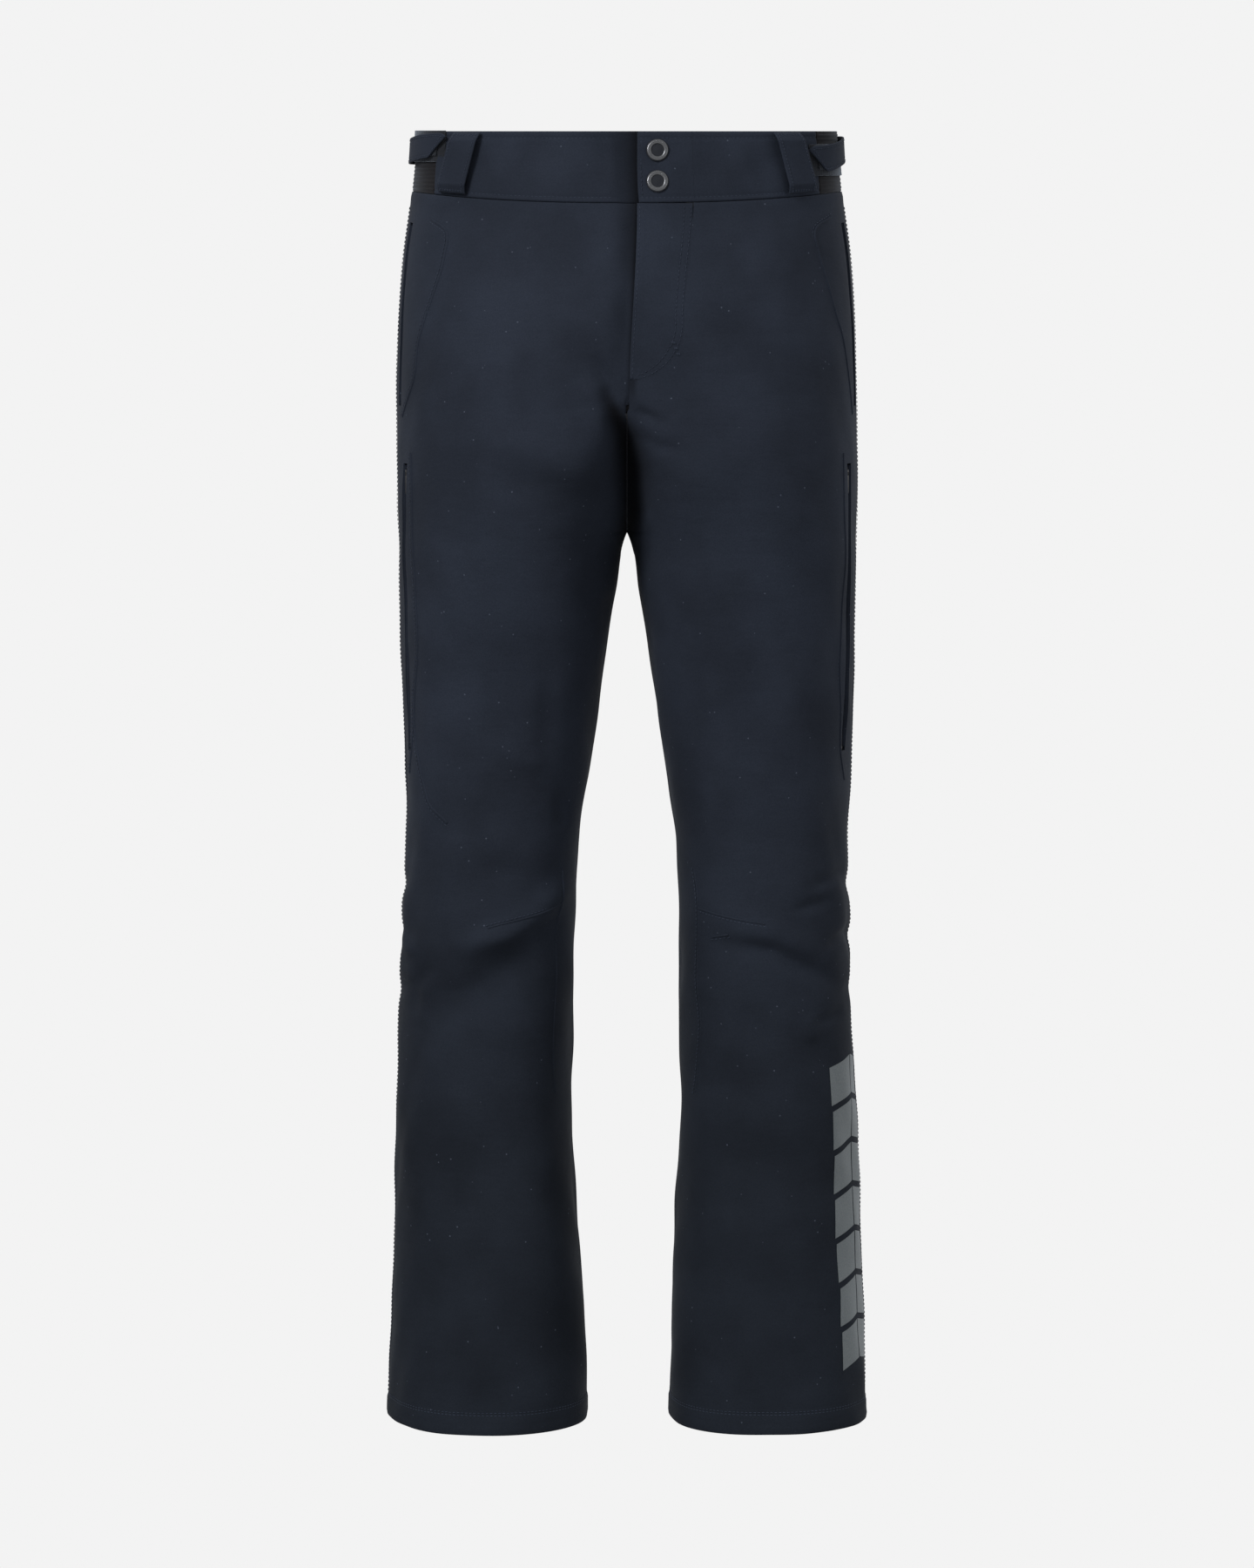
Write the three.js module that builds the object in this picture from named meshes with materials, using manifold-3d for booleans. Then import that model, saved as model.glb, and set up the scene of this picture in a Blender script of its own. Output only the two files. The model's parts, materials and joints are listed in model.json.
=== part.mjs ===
// Ski pants: two legs, a contoured waistband with adjuster tabs, a snap and zip fly,
// zipped hand pockets, zipped thigh vents and inner boot gaiters.
// Millimetres. The origin is the centre of the waist opening at the waistband's top edge,
// +Z is up, the front faces -Y and the wearer's left is +X.

import * as THREE from "three";
import { mergeVertices } from "three/addons/utils/BufferGeometryUtils.js";
import Module from "manifold-3d";

const wasm = await Module();
wasm.setup();

// ---- driving dimensions ----------------------------------------------------------------

const cloth = 1.2; // shell fabric
const gap = 0.35; // clearance between pieces that touch
const seamGap = 0.2; // half the clearance along a seam
const facetSag = 0.25; // how far a flat facet of the shell may lie inside the true curve

const outseam = 1054; // waistband top to hem
const crotchDrop = 323; // waistband top to the crotch point
const kneeDrop = 629; // waistband top to the knee axis
const kneeHalf = 78; // half the height of the bending zone at each knee

const bandCentreHeight = 56; // waistband at centre front and back
const bandSideHeight = 48; // waistband at the sides
const bandCloth = 2.4;
const stretchAngle = 29; // half the angle that each stretch side panel covers, in degrees

const lapDrop = 4.8; // how far the underlap sits behind the overlap
const lapEdge = 8; // free edge of the overlap, left of centre
const flapFootEdge = 1.5; // the fly flap's free edge nears the centre at its foot
const flapUnder = 2.5; // how far the right front panel runs on under the flap
const panelDip = 2.1; // how far its edge sinks there
const flapRoot = 52; // line on which the overlap and the fly flap turn
const underlapEnd = 46;
const flyDrop = 219; // waistband top to the foot of the fly

const snapX = 24;
const snapDrops = [15, 39.5];
const snapCapRadius = 8.8;
const snapSocketRadius = 5.6;
const snapPostRadius = 2;
const snapFit = 0.35; // radial clearance of the post in the cloth and of the nib in the socket

const loopWidth = 21;
const loopStand = 5.6; // how far a belt loop stands off the band
const loopCloth = 1.4;
const frontLoopX = 129; // centre of a front loop at its top
const frontLoopSlant = 12; // how much farther out its foot lies

const tabHeight = 22;
const tabDrop = 17; // waistband top to the tab's centre line
const tabFrontAngle = -32; // front end of the tab round the side, in degrees
const tabRootAngle = 14;
const tabCloth = 1.4;
const patchCloth = 0.9;

const tapeHalf = 12; // half the width of a zip with its tapes
const tapeCloth = 0.6;
const tapeBinding = 3; // width of the sewn edge that reaches the shell
const railWidth = 1.7; // one row of teeth
const railThickness = 2.4;
const grooveHalf = 0.7; // half the space between the rows, where the slider's wedge runs
const sliderWidth = 9;
const sliderLength = 14;
const sliderPlate = 1.05;
const sliderGap = 0.25; // between the slider's plates and the teeth
const pullWidth = 5;
const pullLength = 20;
const pullThickness = 1.1;
const slotHalf = 7; // half the slot in the shell over a side zip

const flyZip = { x: 14, top: 62, length: 138 };
const pocketZip = { angle: -12, top: 76, length: 140 };
const ventZip = { angle: -23, top: 268, length: 226 };

const bagDepth = 12; // hand room in a pocket
const bagWall = 1;
const bagAngles = [-4, -66];
const bagDrops = [74, 232];

const gaiterTop = 862;
const gaiterFoot = 1040;
const gaiterInset = 15;
const gaiterCloth = 1.2;

// ---- the body shape --------------------------------------------------------------------

// One leg's cross-section at each height: the leg runs on up to the waist, where its middle
// reaches the pants' centre plane. inner and outer are distances from the centre plane.
const stations = [
  { drop: 0, inner: -170, outer: 170, depth: 100, mid: 0 },
  { drop: 56, inner: -172, outer: 174.5, depth: 112, mid: 2 },
  { drop: 100, inner: -158, outer: 180.5, depth: 126, mid: 4 },
  { drop: 150, inner: -132, outer: 184, depth: 136, mid: 5 },
  { drop: 220, inner: -84, outer: 186, depth: 138, mid: 5 },
  { drop: 280, inner: -34, outer: 186.5, depth: 131, mid: 3 },
  { drop: crotchDrop, inner: 0, outer: 186.5, depth: 121, mid: 0 },
  { drop: 372, inner: 10, outer: 185, depth: 110, mid: -3 },
  { drop: 432, inner: 20, outer: 184, depth: 100, mid: -5 },
  { drop: 517, inner: 32, outer: 181, depth: 90, mid: -8 },
  { drop: 573, inner: 40, outer: 180, depth: 85, mid: -9 },
  { drop: 630, inner: 42.5, outer: 183, depth: 83, mid: -8 },
  { drop: 715, inner: 44, outer: 185, depth: 82, mid: -2 },
  { drop: 800, inner: 46, outer: 189, depth: 83, mid: 2 },
  { drop: 885, inner: 41, outer: 191, depth: 85, mid: 2 },
  { drop: 969, inner: 36, outer: 194, depth: 86, mid: 1 },
  { drop: outseam, inner: 34, outer: 196, depth: 87, mid: 0 },
];
const squareness = 2.3; // exponent of the superellipse: 2 is an ellipse

// Smooth value of one field of the stations at a height z.
function stationValue(field, z) {
  const drop = THREE.MathUtils.clamp(-z, 0, outseam);
  let i = stations.findIndex((s) => s.drop >= drop);
  i = Math.max(i, 1);
  const at = (k) => stations[THREE.MathUtils.clamp(k, 0, stations.length - 1)];
  const [p, a, b, q] = [at(i - 2), at(i - 1), at(i), at(i + 1)];
  const span = b.drop - a.drop;
  const t = (drop - a.drop) / span;
  const slopeA = a === p ? 0 : ((b[field] - p[field]) / (b.drop - p.drop)) * span;
  const slopeB = b === q ? 0 : ((q[field] - a[field]) / (q.drop - a.drop)) * span;
  const rise = b[field] - a[field];
  return (
    a[field] +
    t * (slopeA + t * (3 * rise - 2 * slopeA - slopeB + t * (slopeA + slopeB - 2 * rise)))
  );
}

function section(z) {
  const inner = stationValue("inner", z);
  const outer = stationValue("outer", z);
  return {
    centre: (inner + outer) / 2,
    half: (outer - inner) / 2,
    depth: stationValue("depth", z),
    mid: stationValue("mid", z),
  };
}

const signedPower = (value, power) => Math.sign(value) * Math.abs(value) ** power;

// A point of the shell's outer face. side is 1 for the wearer's left leg and -1 for the right;
// angle is 0 at the side seam, negative towards the front and positive towards the back;
// offset moves the point out of the shell.
function skin(side, angle, z, offset = 0) {
  const s = section(z);
  const c = signedPower(Math.cos(angle), 2 / squareness);
  const d = signedPower(Math.sin(angle), 2 / squareness);
  const nx = signedPower(c, squareness - 1) / s.half;
  const ny = signedPower(d, squareness - 1) / s.depth;
  const norm = Math.hypot(nx, ny);
  return new THREE.Vector3(
    side * (s.centre + s.half * c + (offset * nx) / norm),
    s.mid + s.depth * d + (offset * ny) / norm,
    z,
  );
}

// The angle, as a positive number, at which a leg's section reaches the distance x.
function angleAt(x, z) {
  const s = section(z);
  const share = THREE.MathUtils.clamp((x - s.centre) / s.half, -1, 1);
  return Math.acos(signedPower(share, squareness / 2));
}

// A point of the front (face -1) or the back (face 1) at a signed x, for pieces that cross
// the centre plane.
function skinAtX(x, face, z, offset = 0) {
  const side = x < 0 ? -1 : 1;
  return skin(side, face * angleAt(Math.abs(x), z), z, offset);
}

const radians = THREE.MathUtils.degToRad;
const bandFoot = (angle) =>
  -bandCentreHeight + (bandCentreHeight - bandSideHeight) * Math.cos(angle) ** 2;

// ---- solids ----------------------------------------------------------------------------

const read = (value, u, v) => (typeof value === "function" ? value(u, v) : value);

// A closed solid between two offsets of a surface. surface(u, v, offset) gives a point, and
// columns and rows are the values of u and v that carry vertices. A loop joins its last
// column to its first.
function sheet(surface, columns, rows, outer, inner, loop = false) {
  const positions = [];
  const index = [];
  const across = columns.length;
  for (const face of [outer, inner])
    for (const v of rows)
      for (const u of columns) positions.push(...surface(u, v, read(face, u, v)));
  const at = (face, row, column) =>
    (face * rows.length + row) * across + (column % across);
  const quad = (a, b, c, d) => index.push(a, b, c, a, c, d);
  const cells = loop ? across : across - 1;
  for (let r = 0; r < rows.length - 1; r++)
    for (let c = 0; c < cells; c++) {
      quad(at(0, r, c), at(0, r + 1, c), at(0, r + 1, c + 1), at(0, r, c + 1));
      quad(at(1, r, c), at(1, r, c + 1), at(1, r + 1, c + 1), at(1, r + 1, c));
    }
  const last = rows.length - 1;
  for (let c = 0; c < cells; c++) {
    quad(at(0, 0, c), at(0, 0, c + 1), at(1, 0, c + 1), at(1, 0, c));
    quad(at(0, last, c), at(1, last, c), at(1, last, c + 1), at(0, last, c + 1));
  }
  if (!loop)
    for (let r = 0; r < last; r++) {
      quad(at(0, r, 0), at(1, r, 0), at(1, r + 1, 0), at(0, r + 1, 0));
      quad(at(0, r, cells), at(0, r + 1, cells), at(1, r + 1, cells), at(1, r, cells));
    }
  const geometry = new THREE.BufferGeometry();
  geometry.setAttribute("position", new THREE.Float32BufferAttribute(positions, 3));
  geometry.setIndex(index);
  return faceOut(geometry);
}

// Turns a closed geometry's triangles outwards if they face in.
function faceOut(geometry) {
  const p = geometry.attributes.position;
  const index = geometry.index.array;
  const [a, b, c] = [new THREE.Vector3(), new THREE.Vector3(), new THREE.Vector3()];
  let volume = 0;
  for (let i = 0; i < index.length; i += 3) {
    a.fromBufferAttribute(p, index[i]);
    b.fromBufferAttribute(p, index[i + 1]);
    c.fromBufferAttribute(p, index[i + 2]);
    volume += a.dot(b.cross(c));
  }
  if (volume < 0)
    for (let i = 0; i < index.length; i += 3)
      [index[i + 1], index[i + 2]] = [index[i + 2], index[i + 1]];
  return geometry;
}

function toManifold(geometry) {
  const bare = geometry.clone();
  bare.deleteAttribute("normal");
  bare.deleteAttribute("uv");
  const merged = mergeVertices(bare, 1e-4);
  return new wasm.Manifold(
    new wasm.Mesh({
      numProp: 3,
      vertProperties: new Float32Array(merged.attributes.position.array),
      triVerts: new Uint32Array(merged.index.array),
    }),
  );
}

function toGeometry(solid) {
  const mesh = solid.getMesh();
  const geometry = new THREE.BufferGeometry();
  geometry.setAttribute("position", new THREE.BufferAttribute(mesh.vertProperties, 3));
  geometry.setIndex(new THREE.BufferAttribute(mesh.triVerts, 1));
  return geometry;
}

const join = (...parts) =>
  toGeometry(parts.map(toManifold).reduce((sum, part) => sum.add(part)));
const cut = (body, ...tools) =>
  toGeometry(tools.map(toManifold).reduce((rest, tool) => rest.subtract(tool), toManifold(body)));

// A box between two corners.
function block(x0, x1, y0, y1, z0, z1) {
  const box = new THREE.BoxGeometry(x1 - x0, y1 - y0, z1 - z0);
  return box.translate((x0 + x1) / 2, (y0 + y1) / 2, (z0 + z1) / 2);
}

const steps = (from, to, count) =>
  Array.from({ length: count + 1 }, (_, i) => from + ((to - from) * i) / count);

// ---- materials and assembly ------------------------------------------------------------

const finish = (color, roughness, metalness = 0) => ({ color, roughness, metalness });
const shellCloth = finish(0x2a2f37, 0.85);
const shinCloth = finish(0x21262d, 0.88);
const stretchCloth = finish(0x232227, 0.9);
const liningCloth = finish(0x3a3d44, 0.9);
const tapeClothFinish = finish(0x1c1e22, 0.8);
const plastic = finish(0x141518, 0.45);
const fuzzy = finish(0x0e0f11, 0.98);
const darkMetal = finish(0x4b4d51, 0.35, 0.9);
const brightMetal = finish(0xa6a8ab, 0.3, 0.9);

const pants = new THREE.Group();
pants.userData.axes = {}; // joint axes, for whoever drives the model

function add(name, geometry, look, parent = pants) {
  const mesh = new THREE.Mesh(geometry, new THREE.MeshStandardMaterial(look));
  mesh.name = name;
  parent.add(mesh);
  return mesh;
}

// ---- zips ------------------------------------------------------------------------------

// A straight zip behind the shell. It lies along the line between two points of the skin,
// far enough inside for its tapes' sewn edges to clear the shell all the way.
// Local axes: X across, Y out of the cloth, Z up; the origin is the top of the teeth.
// dip is how far the cloth in front of the sewn edges is sunk already.
function zipFrame(side, angleOf, top, length, extraDepth, dip = 0) {
  const at = (drop) => skin(side, angleOf(-drop), -drop);
  const head = at(top);
  const up = head.clone().sub(at(top + length)).normalize();
  const middle = top + length / 2;
  const outward = skin(side, angleOf(-middle), -middle, 1)
    .sub(at(middle))
    .projectOnPlane(up)
    .normalize();
  let clear = Infinity;
  let highest = -Infinity;
  for (const drop of steps(top - 6, top + length + 12, 12))
    for (const spread of [-tapeHalf, 0, tapeHalf]) {
      const turn = spread / section(-drop).depth;
      const point = skin(side, angleOf(-drop) + turn, -drop).sub(head);
      clear = Math.min(clear, point.dot(outward));
      highest = Math.max(highest, point.dot(outward));
    }
  const sag = highest - clear; // how much deeper the line lies under the skin's fullest part
  const bindingTop = clear - cloth - gap - facetSag;
  const across = outward.clone().cross(up);
  const origin = head.addScaledVector(outward, bindingTop - extraDepth);
  const group = new THREE.Group();
  group.matrixAutoUpdate = false;
  group.matrix.makeBasis(across, outward, up).setPosition(origin);
  const binding = extraDepth - dip;
  return { group, origin, across, outward, up, length, sag, binding };
}

const plateInner = railThickness / 2 + sliderGap;
const plateOuter = plateInner + sliderPlate;
const pullBase = plateOuter + sliderGap;
const tapeInner = grooveHalf + railWidth + gap;
const stopHeight = 3;
const tapeTail = 6;

function zip(name, frame) {
  const { group, length, binding } = frame;
  const foot = -length - stopHeight;
  const tapeFoot = foot - tapeTail;
  pants.add(group);
  const halfTape = (s) => {
    const [inner, outer] = [s * tapeInner, s * tapeHalf];
    const bound = s * (tapeHalf - tapeBinding);
    const [a, b] = [Math.min(inner, outer), Math.max(inner, outer)];
    const [c, d] = [Math.min(bound, outer), Math.max(bound, outer)];
    return join(
      block(a, b, -tapeCloth / 2, tapeCloth / 2, tapeFoot, 0),
      block(c, d, -tapeCloth / 2, binding, tapeFoot, 0),
    );
  };
  const bridge = block(
    -tapeHalf, tapeHalf, -tapeCloth / 2, tapeCloth / 2, tapeFoot, foot - gap,
  );
  add(name + "_tape", join(halfTape(-1), halfTape(1), bridge), tapeClothFinish, group);

  const rail = (s) => {
    const ends = [s * grooveHalf, s * (grooveHalf + railWidth)].sort((a, b) => a - b);
    return block(...ends, -railThickness / 2, railThickness / 2, foot, 0);
  };
  const stopHalf = grooveHalf + railWidth;
  const stop = block(
    -stopHalf, stopHalf, -railThickness / 2, railThickness / 2, foot, -length,
  );
  add(name + "_teeth", join(rail(-1), rail(1), stop), plastic, group);

  const half = sliderWidth / 2;
  const wedge = grooveHalf - 0.3;
  const slider = join(
    block(-half, half, plateInner, plateOuter, -sliderLength, 0),
    block(-half, half, -plateOuter, -plateInner, -sliderLength, 0),
    block(-wedge, wedge, -plateOuter, plateOuter, -sliderLength / 2, 0),
  );
  add(name + "_slider", slider, darkMetal, group);

  const pullTop = -2;
  const pull = cut(
    block(
      -pullWidth / 2, pullWidth / 2, pullBase, pullBase + pullThickness,
      pullTop - pullLength, pullTop,
    ),
    block(-1.3, 1.3, 0, 20, pullTop - 5, pullTop - 2),
  );
  add(name + "_pull", pull, darkMetal, group);

  const pivot = frame.origin
    .clone()
    .addScaledVector(frame.up, pullTop)
    .addScaledVector(frame.outward, pullBase + pullThickness / 2);
  pants.userData.axes[name] = {
    slide: frame.up.clone().negate().toArray(),
    travel: length - sliderLength - 4,
    pullAxis: frame.across.toArray(),
    pullPivot: pivot.toArray(),
  };
}

// The slot that a side zip shows through, as a cutter in the pants' frame.
function slotCutter(frame, half, inside, outside) {
  const box = block(-half, half, -inside, outside, -frame.length - 4, 4);
  return box.applyMatrix4(frame.group.matrix);
}

const fixed = (angle) => () => angle;
const sideZips = {};
for (const [side, word] of [[1, "left"], [-1, "right"]]) {
  const depth = 1.5;
  sideZips[word] = {
    pocket: zipFrame(side, fixed(radians(pocketZip.angle)), pocketZip.top, pocketZip.length, depth),
    vent: zipFrame(side, fixed(radians(ventZip.angle)), ventZip.top, ventZip.length, depth),
  };
  zip(word + "_pocket_zip", sideZips[word].pocket);
  zip(word + "_vent_zip", sideZips[word].vent);
}
const flyBinding = plateOuter + sliderGap + pullThickness + 1.2;
const flyFrame = zipFrame(
  1, (z) => -angleAt(flyZip.x, z), flyZip.top, flyZip.length, flyBinding, panelDip * 0.35,
);
zip("fly_zip", flyFrame);

// ---- leg panels ------------------------------------------------------------------------

const kneeTop = -kneeDrop + kneeHalf;
const kneeFoot = -kneeDrop - kneeHalf;
const seamAngle = 0.002;
const legColumns = 9; // facets across half a leg

// A panel from the side seam to the rise or the inseam; face is -1 in front and 1 behind.
// u runs from the side seam to the inner edge.
function panelSurface(side, face) {
  return (u, z, offset) => {
    const inner = Math.min(angleAt(seamGap, z), Math.PI - seamAngle);
    const angle = face * (seamAngle + u * (inner - seamAngle));
    return skin(side, angle, z, offset);
  };
}

function panel(side, face, rows) {
  return sheet(panelSurface(side, face), steps(0, 1, legColumns), rows, 0, -cloth);
}

// The fly flap's free edge, as a distance left of the centre plane.
function flapEdge(z) {
  const share = THREE.MathUtils.clamp((-z - bandCentreHeight) / (flyDrop - bandCentreHeight), 0, 1);
  return THREE.MathUtils.lerp(lapEdge, flapFootEdge, share);
}

// The hip and thigh panel follows the waistband's foot along its top edge. The right front
// one runs on past the centre plane, under the fly flap, down to the foot of the fly.
function hipPanel(side, face) {
  const foot = kneeTop + seamGap;
  const levels = [0, 0.08, 0.17, 0.27, 0.33, 0.37, 0.45, 0.5, 0.54, 0.6, 0.7, 0.84, 1];
  const under = side === -1 && face === -1;
  const columns = steps(0, 1, 11);
  const share = (z) => (under ? THREE.MathUtils.smoothstep(z, -flyDrop, -flyDrop + 24) : 0);
  const curved = (u, level, offset) => {
    const crown = -bandCentreHeight;
    const top = bandFoot(u * angleAt(seamGap, crown)) - gap;
    const z = top + level * (foot - top);
    const reach = THREE.MathUtils.lerp(seamGap, -flapEdge(z) - flapUnder, share(z));
    const inner = Math.min(angleAt(reach, z), Math.PI - seamAngle);
    const sunk = u === 1 ? panelDip * share(z) : 0;
    return skin(side, face * (seamAngle + u * (inner - seamAngle)), z, offset - sunk);
  };
  return sheet(curved, columns, levels, 0, -cloth);
}

for (const [side, word] of [[1, "left"], [-1, "right"]])
  for (const [face, facing] of [[-1, "front"], [1, "back"]]) {
    let hip = hipPanel(side, face);
    if (face === -1) {
      const { pocket, vent } = sideZips[word];
      hip = cut(hip, slotCutter(pocket, slotHalf, 4, 30), slotCutter(vent, slotHalf, 4, 30));
      if (side === 1) {
        const reach = 60;
        hip = cut(hip, block(-reach, flapRoot + gap, -400, 0, -flyDrop - gap, 0));
      }
    }
    add(`${word}_${facing}_thigh_panel`, hip, shellCloth);
    const knee = steps(kneeTop - seamGap, kneeFoot + seamGap, 3);
    add(`${word}_${facing}_knee_panel`, panel(side, face, knee), shellCloth);
    const shin = steps(kneeFoot - seamGap, -outseam, 4);
    add(`${word}_${facing}_shin_panel`, panel(side, face, shin), shinCloth);
  }

// ---- waistband -------------------------------------------------------------------------

const bandRows = steps(0, 1, 4);

// A stretch of band between two angles on one side.
function bandPiece(side, from, to, columns) {
  const surface = (angle, v, offset) => skin(side, angle, v * bandFoot(angle), offset);
  return sheet(surface, steps(from, to, columns), bandRows, 0, -bandCloth);
}

// A stretch of the front or back band given by signed distances from the centre plane.
function bandByX(face, places, outer, thickness) {
  const surface = (x, v, offset) => {
    const angle = angleAt(Math.abs(x), -bandCentreHeight / 2);
    return skin(x < 0 ? -1 : 1, face * angle, v * bandFoot(angle), offset);
  };
  const inner = (x) => read(outer, x) - thickness;
  return sheet(surface, places, bandRows, outer, inner);
}

const stretch = radians(stretchAngle);
const bandEnd = skin(1, -stretch - seamAngle * 2, -bandCentreHeight / 2).x;
const rightStops = [-bandEnd, -130, -105, -80, -50, -22, -8, -2, 4, lapEdge, 24, underlapEnd];
const underlap = (x) => -lapDrop * THREE.MathUtils.smoothstep(x, -8, lapEdge - 2);
add("right_front_waistband", bandByX(-1, rightStops, underlap, bandCloth), shellCloth);
const leftStops = [flapRoot + gap, 80, 105, 130, bandEnd];
add("left_front_waistband", bandByX(-1, leftStops, 0, bandCloth), shellCloth);
const backStops = steps(-bandEnd, bandEnd, 14);
add("back_waistband", bandByX(1, backStops, 0, bandCloth), shellCloth);
for (const [side, word] of [[1, "left"], [-1, "right"]]) {
  const panelEnd = stretch - seamAngle * 2;
  add(`${word}_stretch_panel`, bandPiece(side, -panelEnd, panelEnd, 7), stretchCloth);
}

// ---- overlap, snaps and fly flap -------------------------------------------------------

function snapFrame(drop) {
  const face = skinAtX(snapX, -1, -drop);
  const across = skinAtX(snapX + 1, -1, -drop).sub(face);
  const up = skinAtX(snapX, -1, 1 - drop).sub(face);
  const outward = across.cross(up).normalize();
  const axis = new THREE.Vector3(0, 0, 1);
  return { face, turn: new THREE.Quaternion().setFromUnitVectors(axis, outward) };
}
const placed = (geometry, frame) =>
  geometry.applyQuaternion(frame.turn).translate(frame.face.x, frame.face.y, frame.face.z);

// A turned piece about the snap's axis: pairs of radius and height above the band's face.
function turned(points, frame) {
  const outline = points.map(([radius, height]) => new THREE.Vector2(radius, height));
  const round = toGeometry(toManifold(new THREE.LatheGeometry(outline, 20)));
  return faceOut(placed(round.rotateX(Math.PI / 2), frame));
}

const overlapCloth = bandCloth - 0.2;
const overlapStops = [lapEdge, 16, 24, 32, 42, flapRoot];
let overlap = bandByX(-1, overlapStops, 0, overlapCloth);
for (const [i, drop] of snapDrops.entries()) {
  const frame = snapFrame(drop);
  const word = ["upper", "lower"][i];
  const holeRadius = snapPostRadius + snapFit;
  const hole = turned([[0, -8], [holeRadius, -8], [holeRadius, 8], [0, 8]], frame);
  overlap = cut(overlap, hole);
  const capFoot = gap + facetSag;
  const socketTop = -overlapCloth - gap;
  const socketFoot = socketTop - 0.9;
  add(
    `${word}_snap_cap`,
    turned([
      [0, socketTop + gap / 2], [snapPostRadius, socketTop + gap / 2], [snapPostRadius, capFoot],
      [snapCapRadius, capFoot], [snapCapRadius, capFoot + 0.7], [snapCapRadius - 0.8, capFoot + 1.3],
      [5.6, capFoot + 1.3], [5, capFoot + 0.8], [0, capFoot + 0.8],
    ], frame),
    brightMetal,
  );
  const bore = snapPostRadius + snapFit;
  add(
    `${word}_snap_socket`,
    turned([
      [bore, socketFoot], [snapSocketRadius, socketFoot], [snapSocketRadius, socketTop],
      [bore, socketTop], [bore, socketFoot],
    ], frame),
    darkMetal,
  );
  const studFoot = -lapDrop + gap;
  const studTop = studFoot + 0.5;
  add(
    `${word}_snap_stud`,
    turned([
      [0, studFoot], [snapSocketRadius, studFoot], [snapSocketRadius, studTop],
      [snapPostRadius, studTop], [snapPostRadius, socketFoot + 0.6], [0, socketFoot + 0.6],
    ], frame),
    darkMetal,
  );
}
add("waistband_overlap", overlap, shellCloth);

const flapTop = -bandCentreHeight - gap;
const flapRows = steps(flapTop, -flyDrop, 6);
const flapSurface = (x, z, offset) => skinAtX(x, -1, z, offset);
const flapSpread = (u, z, offset) =>
  flapSurface(THREE.MathUtils.lerp(flapEdge(z), flapRoot, u), z, offset);
add("fly_flap", sheet(flapSpread, steps(0, 1, 4), flapRows, 0, -cloth), shellCloth);

// The shield is sewn behind the right front edge and passes behind the zip.
const shieldDepth = cloth + gap + facetSag + flyBinding + plateOuter + gap + flyFrame.sag;
const shieldSeat = cloth + gap + 7 * facetSag;
const shieldFace = (x) =>
  -shieldSeat - (shieldDepth - shieldSeat) * THREE.MathUtils.smoothstep(x, -20, -7);
const shieldBack = (x) => shieldFace(x) - cloth;
const shieldStops = [-28, -20, -13, -7, 12, 30, 46];
const shieldRows = steps(-bandCentreHeight - 3, -flyDrop + 4, 5);
add("fly_shield", sheet(flapSurface, shieldStops, shieldRows, shieldFace, shieldBack), liningCloth);

// The flap and the overlap turn on a line just outside the cloth, so nothing binds.
const hingeHead = skinAtX(flapRoot, -1, 0);
const hingeFoot = skinAtX(flapRoot, -1, -flyDrop);
const hingeUp = hingeHead.clone().sub(hingeFoot).normalize();
const hingeOut = new THREE.Vector3(0, -1, 0).projectOnPlane(hingeUp).normalize();
let bulge = 0;
for (const z of steps(0, -flyDrop, 12))
  bulge = Math.max(bulge, skinAtX(flapRoot, -1, z).sub(hingeHead).dot(hingeOut));
pants.userData.axes.fly = {
  axis: hingeUp.toArray(),
  pivot: hingeHead.addScaledVector(hingeOut, bulge + 0.1).toArray(),
};

// ---- belt loops ------------------------------------------------------------------------

const loopEnds = 3; // sewn at the top and foot
function beltLoop(x, face) {
  const surface = (u, v, offset) => {
    const place = x + Math.sign(x) * frontLoopSlant * v + (u - 0.5) * loopWidth;
    const foot = bandFoot(angleAt(Math.abs(place), -bandCentreHeight / 2)) + 1.5;
    return skinAtX(place, face, -1 + v * (foot + 1), offset);
  };
  const arch = (u, v) => gap + loopStand * Math.min(1, Math.sin(Math.PI * v) * 2.2);
  const rows = [0, loopEnds / 50, 0.11, 0.16, 0.5, 0.84, 0.89, 1 - loopEnds / 50, 1];
  return sheet(surface, steps(0, 1, 2), rows, (u, v) => arch(u, v) + loopCloth, arch);
}
add("left_front_belt_loop", beltLoop(frontLoopX, -1), shellCloth);
add("right_front_belt_loop", beltLoop(-frontLoopX, -1), shellCloth);
add("back_belt_loop", beltLoop(0, 1), shellCloth);

// ---- adjuster tabs ---------------------------------------------------------------------

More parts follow.
